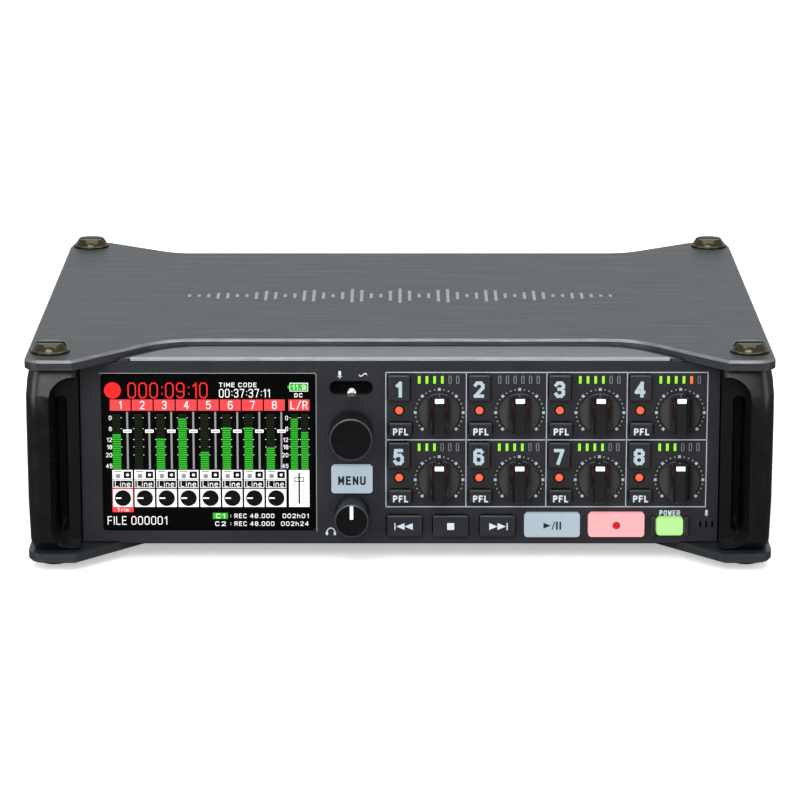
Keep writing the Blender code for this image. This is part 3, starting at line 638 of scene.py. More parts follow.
def build_guards():
    """Guards with a recess in front and a strap slot in its floor, the web."""
    for end, out, web, slot_depth in (("front", -1, -62.2, 9.0), ("rear", 1, 63.2, 3.0)):
        for side, sx in (("left", -1), ("right", 1)):
            node = f"guard_{end}_{side}"
            low, high = cad(node)
            front, back = (low[1], high[1]) if out < 0 else (high[1], low[1])
            shape = guard_block(out, low[2], high[2], front, back)
            floor = rounded(12.0, 41.0, 4.6, 10, 76.3, 26.3)
            middle = rounded(12.2, 41.2, 4.8, 10, 76.3, 26.3)
            mouth = rounded(14.0, 43.6, 6.0, 10, 76.3, 26.3)
            recess = loft(
                [
                    facing_front(mouth, front + out * 1.0),
                    facing_front(mouth, front - out * 0.4),
                    facing_front(middle, front - out * 2.4),
                    facing_front(floor, web),
                ]
            )
            slot = rounded(2.3, 33.0, 1.1, 6, 81.2, 24.8)
            slot_wide = rounded(3.3, 34.2, 1.5, 6, 80.9, 24.8)
            strap = loft(
                [
                    facing_front(slot_wide, web + out * 0.4),
                    facing_front(slot, web - out * 0.8),
                    facing_front(slot, web - out * slot_depth),
                ]
            )
            shapes = [shape, recess, strap]
            if sx < 0:
                shapes = [([(-x, y, z) for x, y, z in points], faces) for points, faces in shapes]
            shape, recess, strap = shapes
            made = piece(f"{node}_shell", shape, GUARD)
            carve(made, recess, strap)
            soften(made, 0.3, 3, 32)
            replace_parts(made, node)


def build_gaskets():
    """Thin strips between the chassis and the rear guards."""
    low, high = cad("guard_rear_right")
    back = cad("chassis")[1][1]
    shapes = []
    for near, far in ((low[0] + 0.1, low[0] + 1.1), (-low[0] - 1.1, -low[0] - 0.1)):
        shapes.append(block(near, far, back + 0.02, low[1] - 0.02, low[2] + 0.2, high[2] - 0.2))
    piece("rear_guard_gaskets", together(shapes), RUBBER)


def build_plate_marks():
    """A plain row of strokes on the top plate, like a sound wave."""
    strokes = 45
    width = 107.0
    shapes = []
    for i in range(strokes):
        x = width * (i / (strokes - 1) - 0.5)
        swell = math.cos(math.pi * x / (width * 1.1)) * (0.55 + 0.45 * math.cos(x * 0.55))
        half = 1.0 + 7.5 * abs(swell)
        outline = rounded(0.8, 2 * half, 0.39, 4, x, 2.0)
        shapes.append(loft([level(outline, PLATE_TOP - 0.02), level(outline, PLATE_TOP + 0.02)]))
    piece("plate_wave_mark", together(shapes), SOFT_MARK)


def build_underside():
    """The tripod socket's threaded insert."""
    low = PLATE_FLOOR
    ring = [(3.15, low + 2.2), (5.0, low + 0.2), (5.0, low - 0.25)]
    ring += [(4.7, low - 0.45), (3.3, low - 0.45), (3.15, low - 0.3)]
    piece("tripod_insert", turned(ring, level, 48, closed=True), SATIN)
    threads = [
        turned([(3.15, low + z + 0.3), (2.75, low + z), (3.15, low + z - 0.3)], level, 40, closed=True)
        for z in (0.2, 0.8, 1.4, 2.0)
    ]
    piece("tripod_thread", together(threads), SATIN)


# ---- front panel
def build_top_band():
    """A strip over the panel's lip, lighter than the panel: partly the lip's own metal tone, partly painted
    light where the plate above shades the lip. Its front edge is a brighter strip, a painted highlight. Its
    back follows the plate's recess.
    """
    top = cad("front_panel")[1][2]
    back, front = -47.75, FACE
    curve_start, curve_radius = 47.5, 15.5
    slant = math.radians(47.5)
    outline = []
    for sx in (1, -1):
        curve = [(0.0, back)]
        for i in range(9):
            turn = slant * i / 8
            rise = curve_radius * (1 - math.cos(turn))
            curve.append((curve_start + curve_radius * math.sin(turn), back - rise))
        x, y = curve[-1]
        curve.append((x + (y - front - 0.02) / math.tan(slant), front + 0.02))
        points = [(sx * x, y) for x, y in curve[1:]]
        outline += points if sx > 0 else points[::-1]
    piece("panel_top_band", loft([level(outline, top + 0.01), level(outline, top + 0.12)]), BAND_TONE_AND_PAINTED_LIGHT)
    half = max(x for x, _ in outline) - 1.1
    # Painted highlight: a light grey strip along the lip's front top edge.
    edge = block(-half, half, front - 0.02, front + 1.2, top - 0.6, top + 0.16)
    piece("panel_top_edge", edge, BAND_EDGE_HIGHLIGHT, bevel=0.15)


def build_grid():
    rows = CHANNELS // COLUMNS
    left, right = CELL_LEFT, CELL_LEFT + COLUMNS * CELL_WIDTH
    top, bottom = CELL_TOP, CELL_TOP - rows * CELL_HEIGHT
    half = INK / 2
    lines = [printed(left - half, right + half, z - half, z + half) for z in (top, top - CELL_HEIGHT, bottom)]
    for i in range(COLUMNS + 1):
        x = left + i * CELL_WIDTH
        lines.append(printed(x - half, x + half, bottom, top))
    piece("channel_grid", together(lines), GRID)


def build_scales():
    """Dots round each gain knob: a large square every 45 degrees, and three small ones between."""
    away = 5.72
    shapes = []
    for index in range(CHANNELS):
        x, z = centre(f"gain_knob_{index + 1}")[0::2]
        for step in range(25):
            turn = math.radians(-135 + 11.25 * step)
            reach = (0.34 if step % 4 == 0 else 0.13) * math.sqrt(2)
            cx, cz = x + away * math.sin(turn), z + away * math.cos(turn)
            corners = []
            for i in range(4):
                a = math.pi / 4 + math.pi / 2 * i - turn
                corners.append((cx + reach * math.cos(a), cz + reach * math.sin(a)))
            shapes.append(prism(corners, FACE - PROUD, FACE + PROUD))
    piece("gain_scale_dots", together(shapes), SCALE)


def build_lamps():
    """Six level lamps along each cell's top, and a round status lamp beside its knob."""
    lit, orange, rims, dark, domes, wells = [], [], [], [], [], []
    for index in range(CHANNELS):
        for lamp in range(LAMPS):
            x, z = cell(index, 7.98 + 1.84 * lamp, 1.82)
            outline = rounded(0.64, 1.85, 0.12, 2, x, z)
            if lamp < LIT[index]:
                lit.append(prism(outline, FACE + 0.1, FACE - 0.12))
            elif index == OVER_CHANNEL and lamp == LIT[index]:
                orange.append(prism(outline, FACE + 0.1, FACE - 0.12))
            else:
                rims.append(outlined(x - 0.36, x + 0.36, z - 0.98, z + 0.98, 0.15))
                dark.append(printed(x - 0.21, x + 0.21, z - 0.83, z + 0.83))
        x, z = cell(index, 3.18, 9.36)
        dome = [(0.9, FACE + 0.2), (0.9, FACE - 0.15), (0.8, FACE - 0.4)]
        dome += [(0.6, FACE - 0.58), (0.3, FACE - 0.68), (0.05, FACE - 0.7)]
        domes.append(turned(dome, facing_front, 24, x, z))
        # A near-black ring round each status lamp: painted shade in the well round its dome.
        well = [(1.3, FACE + 0.05), (1.3, FACE - 0.08), (1.1, FACE - 0.03), (1.1, FACE + 0.05)]
        wells.append(turned(well, facing_front, 24, x, z, closed=True))
    piece("level_lamps_lit", together(lit), GREEN_LAMP)
    piece("level_lamp_over", together(orange), ORANGE_LAMP)
    piece("level_lamp_rims", together(rims), LAMP_RIM_AND_RIM_HIGHLIGHT)
    piece("level_lamps_dark", together(dark), DARK_INK)
    piece("status_lamps", together(domes), STATUS_LAMP)
    piece("status_lamp_wells", together(wells), HOLLOW_SHADE_BLACK)


def key_shape(width, height, radius):
    """A key's cap with a round edge, about its own centre on the panel's face."""
    edge, front = 0.32, -KEY_PROUD
    rings = [(0.0, 1.8)]
    for i in range(5):
        turn = math.pi / 2 * i / 4
        rings.append((edge * (1 - math.cos(turn)), front + edge * (1 - math.sin(turn))))
    rings.append((edge + 0.5, front + 0.04))
    lofted = []
    for inset, y in rings:
        outline = rounded(width - 2 * inset, height - 2 * inset, max(0.15, radius - inset))
        lofted.append(facing_front(outline, y))
    return loft(lofted)


def build_key(node, finish):
    low, high = cad(node)
    flange = 0.6
    width, height = high[0] - low[0] - 2 * flange, high[2] - low[2]
    x, _, z = centre(node)
    radius = 0.45 if finish is KEY else 0.8
    made = piece(f"{node}_cap", moved(key_shape(width, height, radius), x, FACE, z), finish, node)
    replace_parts(made, node)
    return x, z


def key_print(node, name, shape, finish, x, z):
    """Print on a key's front."""
    piece(f"{node}_{name}", on_front(shape, x, z, FACE - KEY_PROUD + 0.02), finish, node)


def flat(*outlines):
    """Printed outlines as a shape in u, v, w, like words()."""
    return together([loft([level(outline, w) for w in (-PROUD, PROUD)]) for outline in outlines])


def triangle(x, way, size):
    """A pointer whose flat side is at x. way is 1 to the right and -1 to the left."""
    return [(x, size * 0.42), (x, -size * 0.42), (x + way * size, 0.0)]


def bar(x, width, height):
    return rounded(width, height, min(width, height) * 0.05, 1, x, 0)


def build_keys():
    for index in range(CHANNELS):
        node = f"track_key_{index + 1}"
        x, z = build_key(node, KEY)
        key_print(node, "number", words(str(index + 1), 4.0, 0.66, 0.2), NUMBER, x - 0.15, z - 0.25)
        node = f"listen_key_{index + 1}"
        x, z = build_key(node, KEY)
        key_print(node, "word", words("PFL", 1.7, 0.64, 0.2), LEGEND, x + 0.05, z - 0.42)
    plain = {
        "rewind_key": flat(triangle(0.0, -1, 2.0), triangle(2.0, -1, 2.0), bar(-2.3, 0.25, 1.8)),
        "stop_key": flat(bar(0, 1.7, 1.7)),
        "forward_key": flat(triangle(0.0, 1, 2.0), triangle(-2.0, 1, 2.0), bar(2.3, 0.25, 1.8)),
    }
    for node, icon in plain.items():
        x, z = build_key(node, KEY)
        key_print(node, "icon", icon, LEGEND, x, z)
    x, z = build_key("menu_key", PALE_KEY)
    key_print("menu_key", "word", words("MENU", 2.2, 0.63, 0.2), DARK_INK, x, z - 0.15)
    x, z = build_key("play_key", PALE_KEY)
    slash = [(-0.15, -1.0), (0.1, -1.0), (0.75, 1.0), (0.5, 1.0)]
    icon = flat(triangle(-2.1, 1, 1.75), slash, bar(1.15, 0.42, 2.0), bar(1.95, 0.42, 2.0))
    key_print("play_key", "icon", icon, DARK_INK, x, z)
    x, z = build_key("record_key", PINK_KEY)
    key_print("record_key", "icon", flat(circle(0.95, 32)), RED_DOT, x, z)
    build_key("power_key", GREEN_KEY)


def build_gain_knobs():
    """Pinch knobs with a ridge between two hollows, and a white mark at its top end."""
    first = "gain_knob_1"
    x, _, z = centre(first)
    high = FACE - KNOB_HEIGHT
    r = KNOB_RADIUS
    profile = [(2.6, FACE + 2.0), (r + 0.15, FACE - 0.35), (r + 0.2, FACE - 0.5), (r + 0.2, FACE - 1.0)]
    profile += [(r + 0.02, FACE - 1.2), (r - 0.06, high + 0.7), (r - 0.12, high + 0.35)]
    profile += [(r - 0.22, high + 0.12), (r - 0.4, high)]
    knob = piece("gain_knob_1_body", turned(profile, facing_front, 64, x, z), KNOB, first)
    hollow, ridge = 5.0, 1.1
    cutters = []
    for sx in (-1, 1):
        outline = circle(hollow, 64, x + sx * (ridge + hollow - 0.15), high - 1.2)
        cutters.append(loft([level(outline, z - 8), level(outline, z + 8)]))
    carve(knob, *cutters)
    soften(knob, 0.1, 2, 28)
    mark = prism(rounded(2.15, 1.1, 0.1, 2, x, z + 4.0), high - 0.04, high + 0.1)
    shaft = turned([(2.0, FACE + 1.8), (2.0, FACE - 0.3)], facing_front, 32, x, z)
    mark_made = piece("gain_knob_1_mark", mark, MARK, first)
    shaft_made = piece("gain_knob_1_shaft", shaft, SATIN, first)
    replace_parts(knob, first)
    for index in range(1, CHANNELS):
        node = f"gain_knob_{index + 1}"
        there = centre(node)
        offset = (there[0] - x, 0, there[2] - z)
        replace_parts(copy(knob, f"{node}_body", offset, node), node)
        copy(mark_made, f"{node}_mark", offset, node)
        copy(shaft_made, f"{node}_shaft", offset, node)


def round_knob(name, x, z, radius, front, body, teeth):
    """A knob with a knurled side, a bright turned edge and a flat face."""
    knurl = [(x + u, z + v) for u, v in toothed(radius, teeth, 0.22)]
    grip = prism(knurl, FACE - 1.0, front + 0.55)
    skirt = [(radius - 0.2, FACE - 0.45), (radius, FACE - 0.6)]
    skirt += [(radius, FACE - 1.0), (radius - 0.3, FACE - 1.05)]
    shapes = [grip, turned(skirt, facing_front, 64, x, z)]
    piece(f"{name}_grip", together(shapes), KNOB_SIDE, body, angle=50)
    inner = radius - 0.42
    edge = [(radius - 0.05, front + 0.56), (radius, front + 0.3), (radius - 0.08, front + 0.1)]
    edge += [(radius - 0.3, front), (inner, front + 0.02), (inner, front + 0.5)]
    piece(f"{name}_edge", turned(edge, facing_front, 96, x, z, closed=True), RIM, body)
    dish = [(inner, front + 0.5), (inner, front + 0.07), (radius - 0.9, front + 0.1), (0.2, front + 0.14)]
    return piece(f"{name}_face", turned(dish, facing_front, 96, x, z), KNOB_FACE, body)


def build_round_knobs():
    x, _, z = centre("dial_knob")
    front = cad("dial_knob")[0][1]
    face = round_knob("dial", x, z, 5.17, front, "dial", 60)
    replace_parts(face, "dial_knob")
    x, _, z = centre("volume_knob")
    front = cad("volume_knob")[0][1]
    face = round_knob("volume", x, z, 4.14, front, "volume_knob", 48)
    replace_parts(face, "volume_knob")
    line = prism(rounded(0.8, 3.4, 0.1, 2, x, z + 2.15), front + 0.02, front + 0.2)
    piece("volume_pointer", line, MARK, "volume_knob")
    stem = turned([(2.6, FACE + 1.5), (2.6, FACE - 0.8)], facing_front, 32, x, z)
    piece("volume_stem", stem, KNOB_SIDE, "volume_knob")


def build_toggle():
    """A plated lever with a drop-shaped end, in a dark slot with a raised edge. The raised edge is black; the
    slot's walls and the plug behind them are near-black as painted shade inside the slot.
    """
    x, _, z = centre("toggle_lever")
    pivot = -54.0
    stations = ((0.55, 0.5), (0.62, -3.0), (0.6, -7.4), (0.66, -8.4), (0.84, -9.5), (1.05, -10.3))
    stations += ((1.2, -11.0), (1.26, -11.5), (1.2, -12.0), (1.0, -12.35), (0.65, -12.56), (0.1, -12.62))
    profile = [(r, pivot + y) for r, y in stations]
    shape = turned(profile, facing_front, 32, x + 0.25, z)
    lever = piece("toggle_lever_plated", shape, STEEL, "toggle")
    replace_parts(lever, "toggle_lever")
    outer, inner = rounded(10.5, 3.3, 1.64, 8, x, z), rounded(9.9, 2.7, 1.34, 8, x, z)
    rings = [(outer, FACE + 0.1), (outer, FACE - 0.1), (inner, FACE - 0.03), (inner, FACE + 2.2)]
    # Painted shade: near-black slot walls, and a plug that closes the slot behind them.
    piece("toggle_slot_lining", hoop(rings), HOLLOW_SHADE_BLACK)
    piece("toggle_slot_boot", prism(inner, FACE + 2.0, FACE + 2.3), HOLLOW_SHADE_BLACK)


def microphone_icon(scale):
    head = rounded(0.95 * scale, 1.7 * scale, 0.45 * scale, 6, 0, 0.55 * scale)
    cross = rounded(1.5 * scale, 0.3 * scale, 0.05 * scale, 1, 0, -0.55 * scale)
    stem = rounded(0.35 * scale, 0.8 * scale, 0.1 * scale, 1, 0, -0.9 * scale)
    return flat(head, cross, stem)


def wave_icon():
    points, back = [], []
    for i in range(13):
        u = -1.0 + 2.0 * i / 12
        v = 0.32 * math.sin(math.pi * u)
        points.append((u, v + 0.14))
        back.append((u, v - 0.14))
    return flat(points + back[::-1])


def headphone_icon():
    arc = [(1.05 * math.cos(math.pi * i / 12), 1.05 * math.sin(math.pi * i / 12)) for i in range(13)]
    inner = [(0.8 * math.cos(math.pi * i / 12), 0.8 * math.sin(math.pi * i / 12)) for i in range(12, -1, -1)]
    cups = [rounded(0.55, 1.0, 0.2, 3, sx * 0.95, -0.35) for sx in (-1, 1)]
    return flat(arc + inner, *cups)


def build_legends():
    toggle = centre("toggle_lever")
    volume = centre("volume_knob")
    power = centre("power_key")
    shapes = [
        on_front(microphone_icon(0.7), toggle[0] - 2.7, toggle[2] + 3.1),
        on_front(wave_icon(), toggle[0] + 2.87, toggle[2] + 3.1),
        on_front(headphone_icon(), volume[0] - 5.1, volume[2] - 5.1),
        on_front(words("POWER", 1.35, 0.62, 0.18), power[0], power[2] + 3.15),
        on_front(microphone_icon(0.6), 73.85, 12.0),
    ]
    piece("panel_legends", together(shapes), LEGEND)


def build_power_ribs():
    corner, far_corner = cad("power_key")
    x0, x1 = corner[0] + 0.6, far_corner[0] - 0.6
    z0, z1 = corner[2] - 0.3, far_corner[2] + 0.2
    ribs = []
    for near, far in ((x0 - 0.3, x0 - 1.35), (x1 + 0.3, x1 + 1.35)):
        low, high = sorted((near, far))
        ribs.append(block(low, high, FACE - 1.35, FACE + 0.2, z0, z1))
    piece("power_key_ribs", together(ribs), KEY, bevel=0.25, segments=3)


# ---- display
class Screen:
    """The display's picture: flat shapes gathered by colour, a little proud of the glass."""

    def __init__(self, y):
        self.y = y
        self.layers = {}

    def put(self, finish, shape, lift=0):
        key = (finish.name, lift)
        self.layers.setdefault(key, (finish, []))[1].append(moved(shape, dy=-0.03 * lift))

    def area(self, finish, x0, x1, z0, z1, lift=0):
        self.put(finish, printed(x0, x1, z0, z1, self.y), lift)

    def frame(self, finish, x0, x1, z0, z1, line, lift=0):
        self.put(finish, outlined(x0, x1, z0, z1, line, self.y), lift)

    def text(self, finish, text, x, z, height, squeeze=0.8, weight=0.1, align="CENTER", lift=0):
        self.put(finish, on_front(words(text, height, squeeze, weight, align), x, z, self.y), lift)

    def disc(self, finish, x, z, radius, lift=0):
        self.put(finish, on_front(flat(circle(radius, 32)), x, z, self.y), lift)

    def build(self):
        for (name, lift), (finish, shapes) in self.layers.items():
            piece(f"display_{name}_{lift}", together(shapes), finish)


METER_LOW, METER_HIGH = 22.95, 36.85
FADER_Z = 32.35


def draw_meter(screen, x, top, width=1.98):
    """A level column in stripes, with its tick marks. Its unlit part is faint."""
    stripe = 0.55
    count = int((METER_HIGH - METER_LOW) / stripe)
    for i in range(count):
        z = METER_LOW + i * stripe
        finish = SCREEN_GREEN if z + stripe * 0.6 < top else SCREEN_DIM
        screen.area(finish, x, x + width, z, z + stripe * 0.68)
    for z in (35.6, 32.9, 30.2, 28.4, 26.4):
        screen.area(SCREEN_WHITE, x - 0.3, x - 0.05, z, z + 0.12)
        screen.area(SCREEN_WHITE, x + width + 0.05, x + width + 0.3, z, z + 0.12)


def draw_channel(screen, index, top):
    """One channel's column: header, meter, fader, input boxes and trim dial."""
    left = -69.47 + 5.276 * index
    right = left + 4.94
    middle = (left + right) / 2
    screen.area(SCREEN_HEAD, left, right, 37.42, 40.15)
    screen.text(SCREEN_WHITE, str(index + 1), middle, 38.8, 2.0, 0.7, 0.1, lift=1)
    draw_meter(screen, left + 0.5, top)
    fader = left + 4.1
    screen.area(SCREEN_GREY, fader - 0.22, fader + 0.22, METER_LOW, 37.1)
    screen.area(SCREEN_WHITE, fader - 1.0, fader + 1.0, FADER_Z - 0.38, FADER_Z + 0.38, lift=1)
    screen.area(SCREEN_GREY, fader - 0.8, fader + 0.8, FADER_Z - 0.13, FADER_Z + 0.13, lift=2)
    box_left, box_right = left + 0.32, right + 0.22
    screen.area(SCREEN_WHITE, box_left, box_right, 20.35, 22.7)
    screen.area(SCREEN_BLACK, box_left + 2.7, box_right - 0.3, 20.65, 22.35, lift=1)
    screen.disc(SCREEN_GREY, box_left + 1.35, 21.2, 0.62, lift=1)
    screen.area(SCREEN_GREY, box_left + 0.4, box_left + 2.2, 22.15, 22.45, lift=1)
    screen.disc(SCREEN_WHITE, box_left + 3.65, 21.5, 0.35, lift=2)
    screen.area(SCREEN_WHITE, box_left, box_right, 18.25, 20.2)
    screen.area(SCREEN_BLACK, box_left + 0.15, box_right - 0.15, 18.4, 20.05, lift=1)
    screen.text(SCREEN_WHITE, "Line", (box_left + box_right) / 2, 19.25, 1.45, 0.83, 0.1, lift=2)
    screen.area(SCREEN_WHITE, box_left, box_right, 13.5, 17.95)
    dial = (box_left + box_right) / 2
    screen.disc(SCREEN_BLACK, dial, 15.7, 1.98, lift=1)
    screen.area(SCREEN_WHITE, dial - 1.75, dial - 0.35, 15.55, 15.87, lift=2)
    if index == 0:
        screen.frame(SCREEN_HEAD, box_left - 0.12, box_right + 0.12, 12.2, 18.1, 0.2, lift=1)
        screen.area(SCREEN_HEAD, box_left, box_right, 12.2, 13.4, lift=1)
        screen.text(SCREEN_WHITE, "Trim", dial, 12.8, 0.85, 0.95, 0.14, lift=2)


def draw_header(screen):
    screen.disc(SCREEN_RED, -68.77, 42.4, 2.0)
    screen.text(SCREEN_RED, "000:09:10", -55.6, 42.4, 3.85, 0.675, 0.07)
    screen.text(SCREEN_WHITE, "TIME CODE", -43.2, 43.75, 1.1, 0.95, 0.14, align="LEFT")
    screen.text(SCREEN_WHITE, "00:37:37:11", -43.2, 41.7, 2.1, 0.65, 0.09, align="LEFT")
    screen.area(SCREEN_GREEN, -26.4, -22.0, 42.15, 44.25)
    screen.area(SCREEN_GREEN, -26.85, -26.4, 42.8, 43.6)
    screen.frame(SCREEN_WHITE, -26.4, -22.0, 42.15, 44.25, 0.12, lift=1)
    screen.text(SCREEN_WHITE, "11.9", -24.2, 43.2, 1.15, 0.95, 0.13, lift=1)
    screen.text(SCREEN_WHITE, "DC", -24.3, 41.2, 1.0, 0.95, 0.17)


def draw_master(screen):
    """The stereo column on the right, with its fader."""
    screen.area(SCREEN_HEAD, -26.7, -21.7, 37.42, 40.15)
    screen.text(SCREEN_WHITE, "L/R", -24.2, 38.8, 2.0, 0.72, 0.1, lift=1)
    draw_meter(screen, -26.2, 35.75, 1.7)
    draw_meter(screen, -23.7, 32.6, 1.7)
    screen.area(SCREEN_WHITE, -26.7, -21.8, 13.5, 22.7)
    screen.area(SCREEN_BLACK, -24.45, -24.05, 14.3, 22.0, lift=1)
    for i in range(9):
        z = 14.6 + i * 0.88
        screen.area(SCREEN_GREY, -25.6, -24.8, z, z + 0.14, lift=1)
        screen.area(SCREEN_GREY, -23.7, -22.9, z, z + 0.14, lift=1)
    screen.frame(SCREEN_BLACK, -25.4, -23.1, 19.8, 20.9, 0.18, lift=2)


def draw_footer(screen):
    screen.text(SCREEN_WHITE, "FILE 000001", -70.4, 10.1, 2.1, 0.72, 0.09, align="LEFT")
    screen.area(SCREEN_GREEN, -45.1, -41.5, 10.5, 12.0)
    for name, time, z in (("C1", "002h01", 11.25), ("C2", "002h24", 9.3)):
        screen.text(SCREEN_WHITE, name, -43.3, z, 1.1, 1.2, 0.14, lift=1)
        screen.text(SCREEN_WHITE, ": REC 48.000", -40.9, z, 1.1, 0.9, 0.13, align="LEFT")
        screen.text(SCREEN_WHITE, time, -22.1, z, 1.1, 0.95, 0.13, align="RIGHT")
    for text, z in (("0", 35.6), ("6", 32.9), ("12", 30.2), ("18", 28.4), ("20", 26.4), ("45", 23.7)):
        for x in (-69.2, -26.9):
            screen.text(SCREEN_WHITE, text, x, z, 1.05, 0.72, 0.12, align="RIGHT")


def build_display():
    low, high = cad("display_window")
    x, _, z = centre("display_window")
    width, height = high[0] - low[0], high[2] - low[2]
    front = low[1]
    outer = rounded(width, height, 0.7, 6, x, z)
    inner = rounded(width - 0.4, height - 0.4, 0.5, 6, x, z)
    rings = [facing_front(outer, high[1]), facing_front(outer, front + 0.15), facing_front(inner, front)]
    pane = piece("display_pane", loft(rings), WINDOW)
    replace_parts(pane, "display_window")
    rim_out = rounded(width + 0.9, height + 0.9, 1.0, 6, x, z)
    rim_in = rounded(width + 0.3, height + 0.3, 0.8, 6, x, z)
    rings = [(rim_out, FACE + 0.05), (rim_out, FACE - 0.06), (rim_in, FACE + 0.3), (rim_in, FACE + 0.5)]
    piece("display_rim", hoop(rings), PANEL)
    # Painted highlight: light strips on the rim's top and right edges only, where light catches it.
    top = printed(low[0] - 0.4, high[0] + 0.5, high[2] + 0.3, high[2] + 0.5)
    right = printed(high[0] + 0.3, high[0] + 0.5, low[2] - 0.3, high[2] + 0.5)
    piece("display_rim_light_edge", together([top, right]), LAMP_RIM_AND_RIM_HIGHLIGHT)
    screen = Screen(front - 0.01)
    draw_header(screen)
    for index, top in enumerate((31.6, METER_LOW, 30.6, 35.7, 27.4, 33.4, 33.4, 28.4)):
        draw_channel(screen, index, top)
    draw_master(screen)
    draw_footer(screen)
    screen.build()


# ---- sides
def combo_jack(side, y):
    """A combined jack: metal lip, socket face with three contacts, centre hole and release tab."""
    x = JACK_FRONT

    def across(profile, steps=64, dy=0.0, dz=0.0, closed=True):
        placed = [(r, side * (x + d)) for r, d in profile]
        return turned(placed, facing_side, steps, y + dy, JACK_Z + dz, closed)

    lip = across([(10.75, -0.02), (10.75, 0.35), (10.5, 0.6), (10.1, 0.6), (9.75, 0.3), (9.75, -1.2)])
    liner = across([(9.85, -1.0), (9.6, -1.0), (9.6, -5.6), (9.85, -5.6)])
    face = [(9.7, -5.95), (9.7, -5.3), (9.3, -5.2), (4.2, -5.2), (3.6, -5.0), (3.3, -5.2), (3.3, -5.95)]
    collar = across([(4.3, -5.2), (4.3, -4.6), (4.05, -4.4), (3.5, -4.4), (3.35, -4.6), (3.35, -5.2)])
    contacts, wells = [], []
    for dy, dz in around(6.35, 140, 40, 270):
        contacts.append(across([(1.55, -5.25), (1.55, -5.05), (1.2, -5.0), (1.1, -5.25)], 24, dy, dz))
        # Near-black discs close the contact holes: painted shade for their depth.
        wells.append(across([(1.12, -5.21), (1.12, -5.15), (0.02, -5.15), (0.02, -5.21)], 20, dy, dz))
    tab_outline = rounded(5.2, 2.8, 0.6, 5, y, JACK_Z + 8.4)
    tab = loft([facing_side(tab_outline, side * (x - 4.8)), facing_side(tab_outline, side * (x + 0.35))])
    return lip, together([liner, across(face), collar, tab]), together(contacts), together(wells)


def build_sides():
    """Four combined jacks with their screws and numbers on each side, and the small jacks before them."""
    plane = 78.0
    screw = ((1.6, -0.1), (1.6, 0.25), (1.2, 0.45), (0.1, 0.5))
    parts = (("lips", SATIN), ("sockets", JACK), ("contacts", GOLD), ("wells", HOLLOW_SHADE_BLACK))
    for name, side in (("left", -1), ("right", 1)):
        jacks = [combo_jack(side, y) for y in JACK_PLACES]
        for place, (label, finish) in enumerate(parts):
            piece(f"{name}_jack_{label}", together([jack[place] for jack in jacks]), finish)
        screws, numbers = [], []
        head = [(r, side * (plane + d)) for r, d in screw]
        for i, y in enumerate(JACK_PLACES):
            for dy, dz in ((-9.6, 10.6), (9.6, -10.6)):
                screws.append(turned(head, facing_side, 24, y + dy, JACK_Z + dz))
            label = str(i + 1) if side < 0 else str(8 - i)
            numbers.append(on_side(words(label, 3.2, 0.7, 0.17), side, y, JACK_Z + 15.6, plane))
        piece(f"{name}_jack_screws", together(screws), BOLT)
        piece(f"{name}_jack_numbers", together(numbers), LEGEND)
    build_small_jacks()


def build_small_jacks():
    """Two three-pin outputs on the left, and the headphone and 3.5 mm jacks on the right."""
    y = -42.6
    ring = [(4.2, 0.02), (4.2, -0.4), (3.9, -0.6), (3.6, -0.3), (3.55, 5)]
    ring = [(r, -JACK_FRONT + d) for r, d in ring]
    pin = [(0.45, -JACK_FRONT + 8.8), (0.45, -JACK_FRONT + 2.4), (0.2, -JACK_FRONT + 2.1)]
    rings, pins = [], []
    for z in (36.5, 17.5):
        rings.append(turned(ring, facing_side, 40, y, z, closed=True))
        for dy, dz in around(1.7, 90, 210, 330):
            pins.append(turned(pin, facing_side, 16, y + dy, z + dz))
    piece("left_output_rings", together(rings), SATIN)
    piece("left_output_pins", together(pins), GOLD)
    rings = []
    for z, bore in ((36.5, 3.2), (17.5, 1.8)):
        ring = [(4.25, -0.02), (4.25, 0.4), (3.95, 0.7), (bore + 0.35, 0.7)]
        ring += [(bore + 0.02, 0.35), (bore - 0.02, -4)]
        placed = [(r, JACK_FRONT + d) for r, d in ring]
        rings.append(turned(placed, facing_side, 40, y, z, closed=True))
    piece("right_headphone_rings", together(rings), SATIN)


